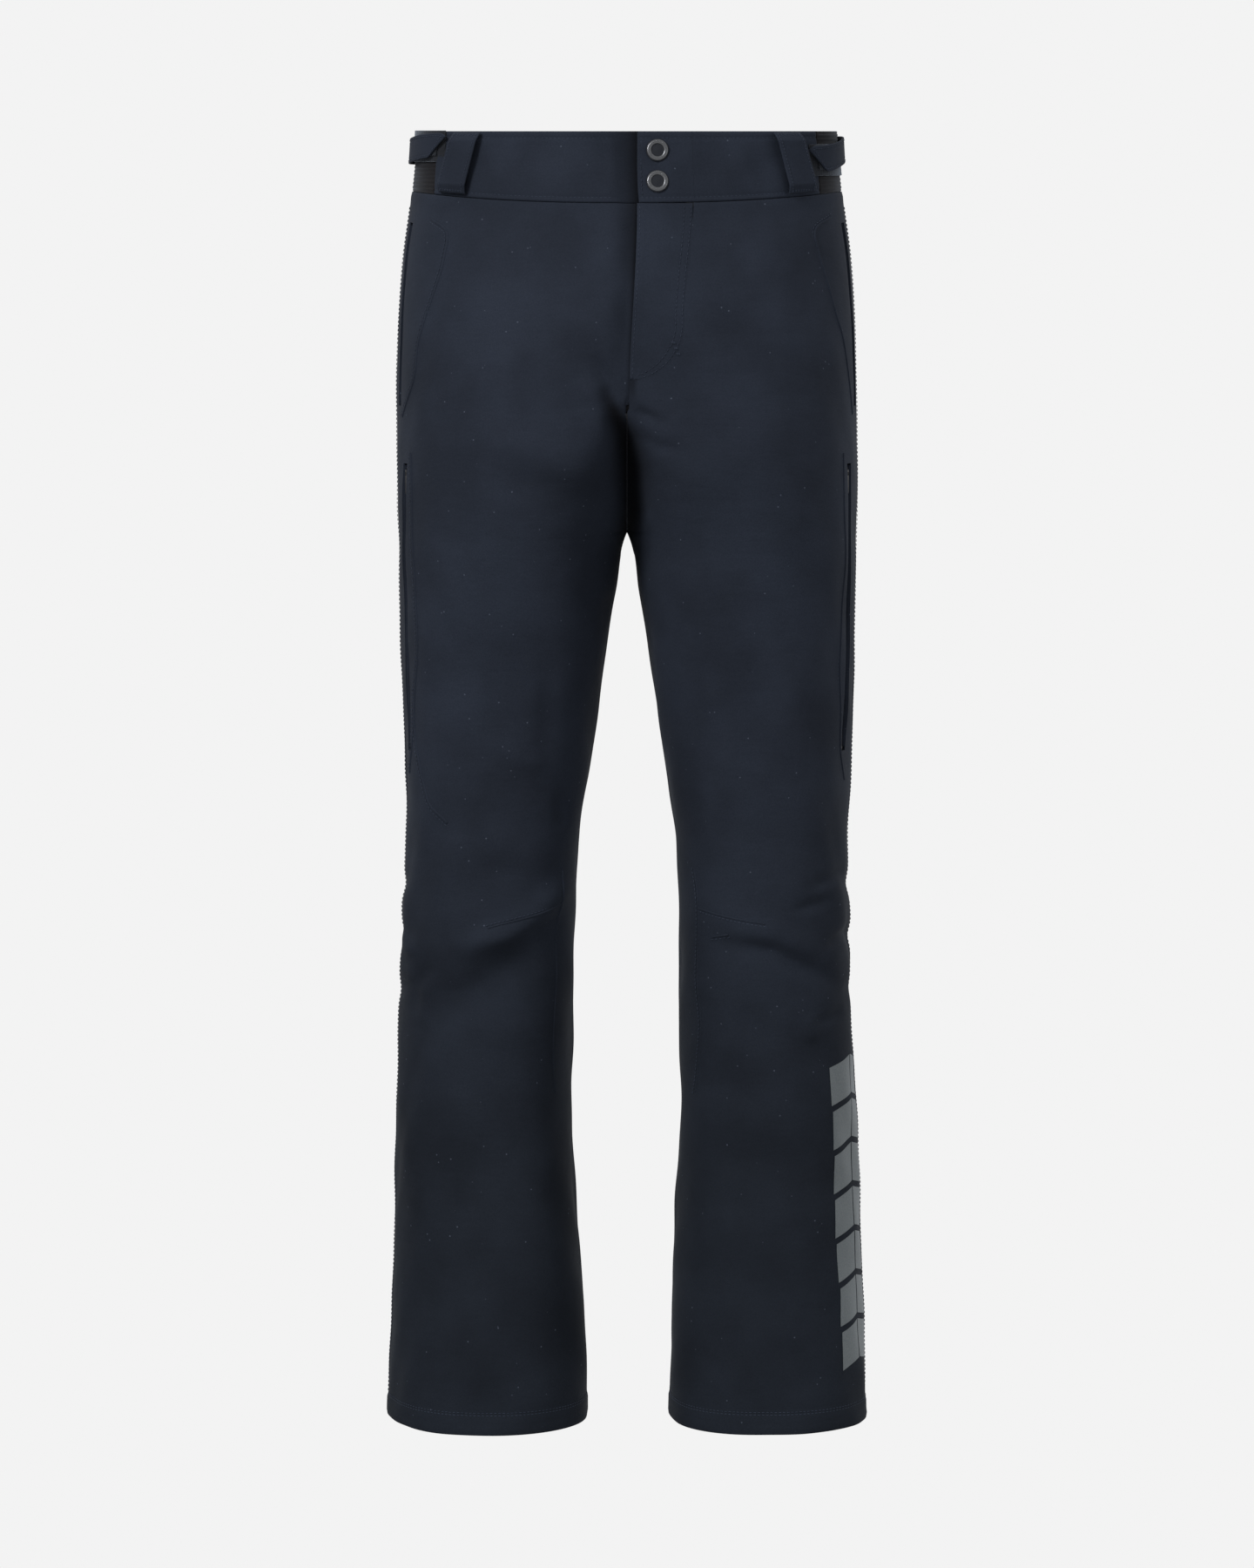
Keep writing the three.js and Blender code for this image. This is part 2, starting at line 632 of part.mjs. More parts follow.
const patchTop = gap + patchCloth;
const hookFoot = patchTop + gap;
const tabFoot = hookFoot + patchCloth + gap;
for (const [side, word] of [[1, "left"], [-1, "right"]]) {
  const strip = (from, to, low, high, height, drop, columns) => {
    const surface = (u, v, offset) => skin(side, radians(u), -drop + (v - 0.5) * height, offset);
    return sheet(surface, steps(from, to, columns), [0, 0.5, 1], high, low);
  };
  const patchHeight = tabHeight + 4;
  add(
    `${word}_loop_patch`,
    strip(tabFrontAngle - 3, tabRootAngle - 14, gap, patchTop, patchHeight, tabDrop + 1, 9),
    fuzzy,
  );
  add(
    `${word}_hook_patch`,
    strip(
      tabFrontAngle + 1.5, tabFrontAngle + 17, hookFoot, hookFoot + patchCloth,
      tabHeight - 3, tabDrop, 4,
    ),
    fuzzy,
  );
  // The tab's root comes down to the band where it is sewn.
  const rootDrop = (u) => THREE.MathUtils.smoothstep(u, tabRootAngle - 9, tabRootAngle - 3);
  const under = (u) => THREE.MathUtils.lerp(tabFoot, gap, rootDrop(u));
  const surface = (u, v, offset) =>
    skin(side, radians(u), -tabDrop + (v - 0.5) * tabHeight, offset);
  const columns = [
    ...steps(tabFrontAngle, tabRootAngle - 9, 9), tabRootAngle - 6, tabRootAngle - 3, tabRootAngle,
  ];
  const tab = sheet(surface, columns, [0, 1], (u) => under(u) + tabCloth, under);
  add(`${word}_adjuster_tab`, tab, shellCloth);
  pants.userData.axes[`${word}_tab`] = {
    axis: [0, 0, side],
    pivot: skin(side, radians(tabRootAngle), -tabDrop, gap + tabCloth).toArray(),
  };
}

// ---- pocket bags and gaiters -----------------------------------------------------------

for (const [side, word] of [[1, "left"], [-1, "right"]]) {
  const surface = (u, v, offset) => skin(side, radians(u), -v, offset);
  const [from, to] = bagAngles;
  const [top, foot] = bagDrops;
  const wallAngle = 0.6;
  const { sag, binding } = sideZips[word].pocket;
  const bagInset = cloth + gap + facetSag + binding + plateOuter + gap + sag;
  const outside = sheet(
    surface, steps(from, to, 6), steps(top, foot, 4), -bagInset, -bagInset - bagDepth - 2 * bagWall,
  );
  const inside = sheet(
    surface, steps(from - wallAngle, to + wallAngle, 6), steps(top + bagWall, foot - bagWall, 4),
    -bagInset - bagWall, -bagInset - bagWall - bagDepth,
  );
  // Two lips join the bag's mouth to the back of the zip's tapes, clear of the slider.
  const lipInner = sliderWidth / 2 + 2 * gap;
  const lipReach = bagInset;
  const { group, length } = sideZips[word].pocket;
  const lip = (s) => {
    const ends = [s * lipInner, s * (lipInner + 2)].sort((a, b) => a - b);
    const box = block(...ends, -lipReach, -tapeCloth / 2 - gap, -length, 0);
    return box.applyMatrix4(group.matrix);
  };
  const mouth = slotCutter(sideZips[word].pocket, lipInner - 0.2, lipReach + 3, 0);
  const bag = cut(join(outside, lip(1), lip(-1)), inside, mouth);
  add(`${word}_pocket_bag`, bag, liningCloth);

  const tube = (u, v, offset) => skin(side, radians(u), -v, offset);
  const lean = (u, v) => {
    const share = THREE.MathUtils.smoothstep(v, gaiterTop + 12, gaiterTop + 60);
    const seat = cloth + gap + facetSag;
    return -seat - (gaiterInset - seat) * share;
  };
  const levels = [gaiterTop, gaiterTop + 12, gaiterTop + 36, gaiterTop + 60, gaiterFoot];
  const back = (u, v) => lean(u, v) - gaiterCloth;
  const facet = 180 / legColumns; // the same facets as the shell round it
  const around = steps(0, 360 - facet, 2 * legColumns - 1);
  add(`${word}_gaiter`, sheet(tube, around, levels, lean, back, true), liningCloth);
}

for (const [side, word] of [[1, "left"], [-1, "right"]]) {
  const s = section(-kneeDrop);
  pants.userData.axes[`${word}_knee`] = {
    axis: [1, 0, 0],
    pivot: [side * s.centre, s.mid, -kneeDrop],
  };
}

export default pants;
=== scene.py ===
"""Builds the detailed model of a pair of ski pants round its engineering frame."""

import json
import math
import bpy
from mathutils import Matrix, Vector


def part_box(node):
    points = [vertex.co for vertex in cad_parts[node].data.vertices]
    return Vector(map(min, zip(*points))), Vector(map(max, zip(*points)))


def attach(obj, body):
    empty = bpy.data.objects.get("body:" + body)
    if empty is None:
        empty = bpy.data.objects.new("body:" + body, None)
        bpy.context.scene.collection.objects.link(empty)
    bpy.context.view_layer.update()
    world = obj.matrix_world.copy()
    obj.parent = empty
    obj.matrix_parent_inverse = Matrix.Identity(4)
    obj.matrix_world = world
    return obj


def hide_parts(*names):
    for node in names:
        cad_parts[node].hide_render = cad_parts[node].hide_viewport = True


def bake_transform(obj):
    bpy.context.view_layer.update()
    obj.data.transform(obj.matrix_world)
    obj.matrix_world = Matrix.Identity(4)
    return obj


bl_info = {
    "name": "Ski Pants",
    "version": (1, 0, 0),
    "blender": (4, 5, 0),
    "location": "View3D > Sidebar > Ski Pants",
    "description": "Ski pants with a contoured waistband, snap fly, zips, adjuster tabs and gaiters",
    "category": "Add Mesh",
}

import bmesh
import bpy
import numpy as np
from bpy.props import FloatProperty, FloatVectorProperty, PointerProperty
from bpy.types import Operator, Panel, PropertyGroup
from mathutils import Matrix, Vector

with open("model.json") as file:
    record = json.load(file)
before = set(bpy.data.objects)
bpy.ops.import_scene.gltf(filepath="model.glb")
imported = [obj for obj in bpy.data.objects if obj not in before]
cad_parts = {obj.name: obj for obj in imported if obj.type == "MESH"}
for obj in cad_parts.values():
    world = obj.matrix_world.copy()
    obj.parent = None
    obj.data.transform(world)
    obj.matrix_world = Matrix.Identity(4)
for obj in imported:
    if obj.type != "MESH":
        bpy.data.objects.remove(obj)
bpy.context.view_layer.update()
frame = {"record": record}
RECORD = frame["record"]
JOINTS = {j["name"]: j for j in RECORD["behaviour"]["joints"]}
MM = 0.001
SIDES = ((1, "left"), (-1, "right"))

# ---- the body shape, in metres, the same as the frame's --------------------------------

# drop below the waistband's top, inner and outer distance from the centre plane,
# half-depth and middle of one leg's section.
STATIONS = MM * np.array([
    (0, -170, 170, 100, 0), (56, -172, 174.5, 112, 2), (100, -158, 180.5, 126, 4),
    (150, -132, 184, 136, 5), (220, -84, 186, 138, 5), (280, -34, 186.5, 131, 3),
    (323, 0, 186.5, 121, 0), (372, 10, 185, 110, -3), (432, 20, 184, 100, -5),
    (517, 32, 181, 90, -8), (573, 40, 180, 85, -9), (630, 42.5, 183, 83, -8),
    (715, 44, 185, 82, -2), (800, 46, 189, 83, 2), (885, 41, 191, 85, 2),
    (969, 36, 194, 86, 1), (1054, 34, 196, 87, 0),
])
SQUARENESS = 2.3
OUTSEAM = 1.054
KNEE_TOP, KNEE_FOOT = -0.551, -0.707
BAND_CENTRE, BAND_SIDE = 0.056, 0.048
STRETCH_ANGLE = math.radians(29)
LAP_EDGE, LAP_DROP, FLAP_ROOT = 0.008, 0.0048, 0.052
FLY_DROP = 0.219
FLAP_FOOT = 0.195
CLOTH = 0.0012
BAND_CLOTH = 0.0024
SEAM = 0.0003


def station_slopes():
    drop = STATIONS[:, 0]
    slopes = np.zeros_like(STATIONS)
    slopes[1:-1] = (STATIONS[2:] - STATIONS[:-2]) / (drop[2:] - drop[:-2])[:, None]
    return slopes


SLOPES = station_slopes()


def section(z):
    """Centre, half-width, half-depth and middle of a leg's section at heights z."""
    drop = np.clip(-np.asarray(z, float), 0, OUTSEAM)
    i = np.clip(np.searchsorted(STATIONS[:, 0], drop), 1, len(STATIONS) - 1)
    a, b = STATIONS[i - 1], STATIONS[i]
    span = b[..., :1] - a[..., :1]
    t = (drop[..., None] - a[..., :1]) / span
    sa, sb, rise = SLOPES[i - 1] * span, SLOPES[i] * span, b - a
    v = a + t * (sa + t * (3 * rise - 2 * sa - sb + t * (sa + sb - 2 * rise)))
    return (v[..., 1] + v[..., 2]) / 2, (v[..., 2] - v[..., 1]) / 2, v[..., 3], v[..., 4]


def signed_power(value, power):
    return np.sign(value) * np.abs(value) ** power


def bare_skin(side, angle, z):
    """Points of the smooth body: angle 0 at the side seam, negative in front."""
    centre, half, depth, mid = section(z)
    c = signed_power(np.cos(angle), 2 / SQUARENESS)
    d = signed_power(np.sin(angle), 2 / SQUARENESS)
    return np.stack([side * (centre + half * c), mid + depth * d, z + 0 * c], -1)


def angle_at(x, z):
    """The angle, as a positive number, at which a leg's section reaches distance x."""
    centre, half, _, _ = section(z)
    share = np.clip((x - centre) / half, -1, 1)
    return np.arccos(signed_power(share, SQUARENESS / 2))


def normals(side, angle, z):
    e = 0.02
    across = bare_skin(side, angle + e, z) - bare_skin(side, angle - e, z)
    down = bare_skin(side, angle, z - 0.004) - bare_skin(side, angle, z + 0.004)
    n = np.asarray(side * np.ones_like(z))[..., None] * np.cross(down, across)
    return n / np.maximum(np.linalg.norm(n, axis=-1, keepdims=True), 1e-12)


def skin_point(side, angle, z, offset):
    """Points of the smooth body, moved out by offset."""
    n = normals(side, angle, z)
    return bare_skin(side, angle, z) + n * np.asarray(offset)[..., None]


def smooth(x, low, high):
    t = np.clip((x - low) / (high - low), 0, 1)
    return t * t * (3 - 2 * t)


def band_foot(angle):
    return -BAND_CENTRE + (BAND_CENTRE - BAND_SIDE) * np.cos(angle) ** 2


# ---- folds -----------------------------------------------------------------------------

# Each fold is a line across the cloth in millimetres (distance from the centre plane, with
# the wearer's left positive, and height), its height out of the cloth and its half-width.
FRONT_FOLDS = [
    ([(-44, -600), (-78, -629), (-98, -643), (-146, -656)], 7.4, 11),
    ([(-70, -655), (-120, -684), (-168, -716)], -8.0, 17),
    ([(-158, -667), (-174, -691), (-171, -718)], -3.5, 6),
    ([(-184, -645), (-172, -666)], 2.6, 5),
    ([(-110, -243), (-62, -257), (-18, -274)], 3.5, 17),
    ([(-118, -262), (-60, -282), (-20, -300)], -2.9, 15),
    ([(-40, -345), (-8, -406)], -3.8, 14),
    ([(-63, -410), (-64, -508)], -2.1, 9),
    ([(-103, -489), (-84, -501), (-64, -507)], 1.9, 7),
    ([(-53, -528), (-53, -560)], -2.4, 5),
    ([(-30, -172), (-14, -196), (0, -222)], -4.2, 6),
    ([(-19, -198), (-15, -216), (-9, -240)], -4.5, 6),
    ([(-38, -190), (-22, -212), (-6, -236)], 3.2, 7),
    ([(4, -216), (18, -224), (34, -232)], -2.6, 4),
    ([(4, -236), (22, -247), (48, -252)], -2.4, 5),
    ([(72, -649), (118, -657), (160, -680), (178, -692)], -4.8, 8),
    ([(80, -636), (120, -643), (158, -664)], 2.9, 10),
    ([(148, -604), (180, -594)], -2.6, 5),
    ([(133, -624), (167, -615)], -2.4, 5),
    ([(160, -654), (184, -645)], -2.6, 5),
    ([(150, -716), (178, -710)], -2.4, 5),
    ([(146, -706), (150, -734)], 2.6, 8),
    ([(36, -345), (22, -420)], -2.6, 12),
    ([(100, -250), (40, -285)], 2.2, 18),
    ([(70, -760), (64, -930)], 2.6, 24),
    ([(150, -780), (152, -980)], -1.9, 22),
    ([(-74, -760), (-66, -940)], 2.2, 22),
    ([(-150, -770), (-158, -990)], -1.9, 24),
    ([(-120, -560), (-60, -590)], 2.2, 14),
]
BACK_FOLDS = [
    ([(12, -300), (60, -338), (130, -346)], -6.4, 12),
    ([(14, -278), (70, -312), (140, -318)], 4.2, 16),
    ([(60, -598), (112, -610), (170, -600)], -6.4, 9),
    ([(58, -640), (112, -652), (172, -640)], -7.0, 10),
    ([(60, -620), (112, -631), (172, -620)], 4.8, 9),
    ([(58, -676), (100, -690), (160, -682)], -3.8, 9),
    ([(70, -780), (80, -940)], 2.9, 26),
    ([(150, -800), (146, -1000)], -2.6, 22),
    ([(20, -400), (52, -520)], -2.6, 14),
]
SIDE_FOLDS = [
    ([(-60, -600), (-10, -612), (50, -600)], -2.4, 9),
    ([(-66, -646), (-6, -655), (52, -640)], -2.8, 9),
    ([(-50, -690), (10, -702), (54, -690)], -1.8, 9),
    ([(-80, -300), (-10, -330), (70, -320)], -1.2, 20),
]


def fold_height(points, line, height, width):
    """Height in metres that one fold adds at 2-D points given in metres."""
    line = np.array(line, float) * MM
    best = np.full(points.shape[:-1], 1e9)
    along = np.zeros(points.shape[:-1])
    lengths = np.linalg.norm(np.diff(line, axis=0), axis=1)
    start = np.concatenate([[0], np.cumsum(lengths)])
    for a, b, length, s0 in zip(line[:-1], line[1:], lengths, start):
        t = np.clip(((points - a) @ (b - a)) / length**2, 0, 1)
        d = np.linalg.norm(points - a - t[..., None] * (b - a), axis=-1)
        nearer = d < best
        best = np.where(nearer, d, best)
        along = np.where(nearer, (s0 + t * length) / start[-1], along)
    taper = np.clip(4.5 * along * (1 - along), 0.12, 1)
    w = width * MM
    return height * MM * np.exp(-((best / w) ** 2)) * taper


WAVES = [
    (0.9, 31, 9, 0.3), (0.7, 47, -13, 1.9), (0.5, 71, 21, 4.1), (0.4, 103, -37, 2.7),
    (0.28, 149, 61, 5.2), (0.22, 64, 118, 0.9), (0.16, 210, 95, 3.3),
]


def relief(side, angle, z):
    """How far the cloth stands out of the smooth body."""
    p = bare_skin(side, angle, z)
    front = smooth(-np.sin(angle), 0.0, 0.3)
    back = smooth(np.sin(angle), 0.0, 0.3)
    flank = smooth(np.cos(angle), 0.35, 0.8)
    total = np.zeros(p.shape[:-1])
    flat = p[..., (0, 2)]
    mirrored = np.stack([np.abs(p[..., 0]), p[..., 2]], -1)
    for line, height, width in FRONT_FOLDS:
        total += front * fold_height(flat, line, height, width)
    for line, height, width in BACK_FOLDS:
        total += back * fold_height(mirrored, line, height, width)
    for line, height, width in SIDE_FOLDS:
        total += flank * fold_height(p[..., (1, 2)], line, height, width)
    ripple = np.zeros(p.shape[:-1])
    for height, across, down, phase in WAVES:
        run = across * (p[..., 0] * side * 0.6 + p[..., 1] * 0.8) + down * p[..., 2]
        ripple += height * MM * np.sin(run + phase + side)
    free = smooth(-z, 0.075, 0.2) * (0.45 + 0.55 * smooth(-z, 0.3, 0.6))
    waist = smooth(-z, 0.058, 0.09)
    near_rise = smooth(np.abs(p[..., 0]), 0.0005, 0.014)
    steady = np.where(z > -0.34, near_rise, 1.0)
    return (total * waist + ripple * free) * steady


# The deep fold between the fly and the crotch: drop, sideways place and half width, in mm.
CROTCH_FOLD = np.array([
    (198, -18, 3.5), (213, -13, 5.5), (240, -2, 10), (266, 4, 12), (300, 5, 9.5), (325, 1, 6),
]).T


def crotch_fold(x, z):
    """Share of the deep fold above the crotch, from 0 beside it to 1 along its middle."""
    drop = -z / MM
    middle = np.interp(drop, CROTCH_FOLD[0], CROTCH_FOLD[1]) * MM
    half = np.interp(drop, CROTCH_FOLD[0], CROTCH_FOLD[2]) * MM
    across = np.exp(-(np.abs((x - middle) / half) ** 2.4))
    return across * smooth(drop, 196, 222) * (1 - smooth(drop, 322, 350))


def rise_sink(points, angle, z):
    """How far the cloth at the centre sinks towards the crotch, as a shift in depth."""
    x, y = points[..., 0], points[..., 1]
    wide = 0.015 + 0.017 * smooth(-z, 0.23, 0.32)
    across = np.exp(-((np.abs(x) / wide) ** 1.7))
    share = across * smooth(-z, 0.205, 0.275) * (1 - smooth(-z, 0.322, 0.37))
    depth = np.minimum(0.35 * np.abs(y), 0.011) * crotch_fold(x, z) * (y < 0)
    depth = depth * smooth(-z, 0.222, 0.245)
    return (depth - 0.19 * share * y) * smooth(np.abs(np.sin(angle)), 0.0, 0.3)


def cloth_point(side, angle, z, offset=0.0):
    """Points of the finished cloth's outer face, moved out by offset."""
    angle, z = np.broadcast_arrays(np.asarray(angle, float), np.asarray(z, float))
    lift = relief(side, angle, z) + offset
    bare = bare_skin(side, angle, z)
    shift = np.zeros_like(bare)
    shift[..., 1] = rise_sink(bare, angle, z)
    return bare + shift + normals(side, angle, z) * lift[..., None]


def front_point(x, z, offset=0.0, face=-1):
    """A point of the front (or the back) at a signed distance x from the centre plane."""
    x, z, offset = np.broadcast_arrays(*(np.asarray(v, float) for v in (x, z, offset)))
    angle = face * angle_at(np.abs(x), z)
    return cloth_point(np.where(x < 0, -1.0, 1.0), angle, z, offset)


# ---- mesh helpers ----------------------------------------------------------------------

def new_object(name, verts, faces, smooth_shading=True):
    mesh = bpy.data.meshes.new(name)
    mesh.from_pydata(np.asarray(verts, float).reshape(-1, 3).tolist(), [], faces)
    mesh.validate()
    obj = bpy.data.objects.new(name, mesh)
    bpy.context.scene.collection.objects.link(obj)
    edit = bmesh.new()
    edit.from_mesh(mesh)
    bmesh.ops.remove_doubles(edit, verts=edit.verts, dist=1e-6)
    bmesh.ops.recalc_face_normals(edit, faces=edit.faces)
    if edit.calc_volume(signed=True) < 0:
        bmesh.ops.reverse_faces(edit, faces=edit.faces)
    edit.to_mesh(mesh)
    edit.free()
    for polygon in mesh.polygons:
        polygon.use_smooth = smooth_shading
    mesh.set_sharp_from_angle(angle=math.radians(50))
    return obj


def grid_faces(rows, columns, start=0, loop=False):
    wide = columns if loop else columns - 1
    faces = []
    for r in range(rows - 1):
        for c in range(wide):
            a, b = start + r * columns + c, start + r * columns + (c + 1) % columns
            faces.append((a, b, b + columns, a + columns))
    return faces


def edge_distance(grid, loop, open_end=False):
    """Distance of each grid point from the nearest edge; open_end leaves out the last column."""
    down = np.linalg.norm(np.diff(grid, axis=0), axis=-1)
    v = np.concatenate([np.zeros((1, grid.shape[1])), np.cumsum(down, 0)])
    best = np.minimum(v, v[-1] - v)
    if not loop:
        across = np.linalg.norm(np.diff(grid, axis=1), axis=-1)
        u = np.concatenate([np.zeros((grid.shape[0], 1)), np.cumsum(across, 1)], 1)
        best = np.minimum(best, u if open_end else np.minimum(u, u[:, -1:] - u))
    return best


def soft_sheet(name, surface, us, vs, thickness, loop=False, radius=None, lift=None,
               open_end=False):
    """A closed cloth with rounded edges. surface(u, v, offset) gives grid points."""
    u, v = np.meshgrid(us, vs)
    base = surface(u, v, np.zeros_like(u))
    radius = radius or thickness * 0.5
    k = np.clip(1 - edge_distance(base, loop, open_end) / radius, 0, 1)
    pinch = thickness / 2 * (1 - np.sqrt(1 - np.minimum(k, 0.999) ** 2))
    top = np.zeros_like(u) if lift is None else lift(u, v)
    outer = surface(u, v, top - pinch)
    inner = surface(u, v, top - thickness + pinch)
    rows, columns = u.shape
    count = rows * columns
    faces = grid_faces(rows, columns, 0, loop) + [
        tuple(reversed(f)) for f in grid_faces(rows, columns, count, loop)
    ]
    wide = columns if loop else columns - 1
    for c in range(wide):
        d = (c + 1) % columns
        for r in (0, rows - 1):
            a, b = r * columns + c, r * columns + d
            faces.append((a, b, b + count, a + count))
    if not loop:
        for r in range(rows - 1):
            for c in (0, columns - 1):
                a, b = r * columns + c, (r + 1) * columns + c
                faces.append((a, b, b + count, a + count))
    return new_object(name, np.concatenate([outer.reshape(-1, 3), inner.reshape(-1, 3)]), faces)


def eased(low, high, count, edge, parts=3):
    """Evenly spaced values with a few extra ones close to both ends."""
    middle = np.linspace(low, high, count)
    near = edge * np.linspace(0, 1, parts + 1)[1:] ** 1.4 * np.sign(high - low)
    return np.unique(np.concatenate([middle, low + near, high - near]))


def joined(objects, name):
    bpy.ops.object.select_all(action="DESELECT")
    for o in objects:
        o.select_set(True)
    bpy.context.view_layer.objects.active = objects[0]
    if len(objects) > 1:
        bpy.ops.object.join()
    objects[0].name = objects[0].data.name = name
    return objects[0]


def declare(obj, material, nodes=(), body=None, bend=None):
    """Gives a finished piece its material and hides the CAD parts of the nodes it stands for;
    a bent piece has its transform baked in, any other is parented to its CAD body.
    """
    obj.data.materials.clear()
    obj.data.materials.append(material)
    if bend:
        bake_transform(obj)
    else:
        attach(obj, body)
    if nodes:
        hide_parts(*nodes)
    return obj


def knee_bend(word):
    pivot = JOINTS[word + "_knee"]["pos_m"]
    return ("seat", word + "_shin", (pivot[0], pivot[1], KNEE_TOP), (pivot[0], pivot[1], KNEE_FOOT))


# ---- materials -------------------------------------------------------------------------

MATERIALS = {}
# Colour of the painted shade that darkens the cloth in its deepest folds, beside the fly's edge and above
# the crotch.
FOLD_SHADE = (0.0012, 0.0013, 0.002, 1)


def new_material(name):
    material = bpy.data.materials.new(name)
    material.use_nodes = True
    MATERIALS[name] = material
    return material, material.node_tree.nodes, material.node_tree.links


def cloth_material(name, color, thread=0.0007, roughness=0.9, sheen=0.01, mottle=0.16,
                   specks=0.6, rib=None, foot=None):
    """Woven cloth: two crossing threads as bump, slow mottle, and tiny pale specks. Where foot
    is given, it fades into that darker colour below the knee and is darkened in its marked
    folds; both are painted shade."""
    material, nodes, links = new_material(name)
    shader = nodes["Principled BSDF"]
    shader.inputs["Roughness"].default_value = roughness
    shader.inputs["Sheen Weight"].default_value = sheen
    shader.inputs["Sheen Roughness"].default_value = 0.45
    shader.inputs["Sheen Tint"].default_value = (0.75, 0.85, 1, 1)
    shader.inputs["Specular IOR Level"].default_value = 0.1
    place = nodes.new("ShaderNodeTexCoord").outputs["Object"]

    def noise(scale, detail=3.0):
        node = nodes.new("ShaderNodeTexNoise")
        node.inputs["Scale"].default_value = scale
        node.inputs["Detail"].default_value = detail
        links.new(place, node.inputs["Vector"])
        return node.outputs["Fac"]

    def mixed(factor, a, b, kind="MIX"):
        node = nodes.new("ShaderNodeMix")
        node.data_type = "RGBA"
        node.blend_type = kind
        for socket, value in ((0, factor), (6, a), (7, b)):
            if isinstance(value, bpy.types.NodeSocket):
                links.new(value, node.inputs[socket])
            else:
                node.inputs[socket].default_value = value
        return node.outputs[2]

    def ramp(value, low, high):
        node = nodes.new("ShaderNodeMapRange")
        node.inputs["From Min"].default_value = low
        node.inputs["From Max"].default_value = high
        links.new(value, node.inputs["Value"])
        return node.outputs["Result"]

    dark = tuple(c * (1 - mottle) for c in color[:3]) + (1,)
    light = tuple(c * (1 + mottle) for c in color[:3]) + (1,)
    # Painted shade: below the knee the cloth fades into the darker foot colour, standing in for the weaker
    # light on the lower legs.
    if foot:
        parts = nodes.new("ShaderNodeSeparateXYZ")
        links.new(place, parts.inputs[0])
        down = ramp(parts.outputs["Z"], -0.45, -0.85)
        low = tuple(c * (1 - mottle) for c in foot[:3]) + (1,)
        high = tuple(c * (1 + mottle) for c in foot[:3]) + (1,)
        dark, light = mixed(down, dark, low), mixed(down, light, high)
    ground = mixed(ramp(noise(14), 0.35, 0.65), dark, light)
    grain = ramp(noise(900, 1), 0.3, 0.7)
    ground = mixed(grain, ground, mixed(1.0, ground, (1.22, 1.2, 1.18, 1), "MULTIPLY"))
    pale = tuple(min(1, c * 3.5 + 0.03) for c in color[:3]) + (1,)
    if specks:
        sparse = nodes.new("ShaderNodeTexVoronoi")
        sparse.inputs["Scale"].default_value = 115
        links.new(place, sparse.inputs["Vector"])
        dots = nodes.new("ShaderNodeMath")
        dots.operation = "MULTIPLY"
        near = ramp(sparse.outputs["Distance"], 0.09, 0.05)
        chosen = ramp(noise(60, 1), 0.52, 0.58)
        links.new(near, dots.inputs[0])
        links.new(chosen, dots.inputs[1])
        fade = nodes.new("ShaderNodeMath")
        fade.operation = "MULTIPLY"
        fade.inputs[1].default_value = specks
        links.new(dots.outputs[0], fade.inputs[0])
        ground = mixed(fade.outputs[0], ground, pale)
    # Painted shade: the cloth's colour is mixed towards FOLD_SHADE by the fold share stored on its points.
    if foot:
        fold = nodes.new("ShaderNodeAttribute")
        fold.attribute_name = "painted_fold_shade"
        ground = mixed(fold.outputs["Fac"], ground, FOLD_SHADE)
    links.new(ground, shader.inputs["Base Color"])

    height = None
    period = 2 * math.pi / 20
    for axis, size in (("X", thread), ("Z", thread * 1.15)) if not rib else (("Z", rib),):
        wave = nodes.new("ShaderNodeTexWave")
        wave.bands_direction = axis
        wave.inputs["Scale"].default_value = period / size
        wave.inputs["Distortion"].default_value = 0.6
        wave.inputs["Detail"].default_value = 1
        links.new(place, wave.inputs["Vector"])
        if height is None:
            height = wave.outputs["Fac"]
        else:
            add = nodes.new("ShaderNodeMath")
            links.new(height, add.inputs[0])
            links.new(wave.outputs["Fac"], add.inputs[1])
            height = add.outputs[0]
    bump = nodes.new("ShaderNodeBump")
    bump.inputs["Strength"].default_value = 0.25
    bump.inputs["Distance"].default_value = 0.0002
    links.new(height, bump.inputs["Height"])
    crease = nodes.new("ShaderNodeBump")
    crease.inputs["Strength"].default_value = 0.5
    crease.inputs["Distance"].default_value = 0.0016
    stretched = nodes.new("ShaderNodeMapping")
    stretched.inputs["Scale"].default_value = (0.5, 0.5, 1.6)
    links.new(place, stretched.inputs["Vector"])
    wrinkle = nodes.new("ShaderNodeTexNoise")
    wrinkle.inputs["Scale"].default_value = 42
    wrinkle.inputs["Detail"].default_value = 4
    links.new(stretched.outputs[0], wrinkle.inputs["Vector"])
    links.new(wrinkle.outputs["Fac"], crease.inputs["Height"])
    links.new(bump.outputs[0], crease.inputs["Normal"])
    links.new(crease.outputs[0], shader.inputs["Normal"])
    return material


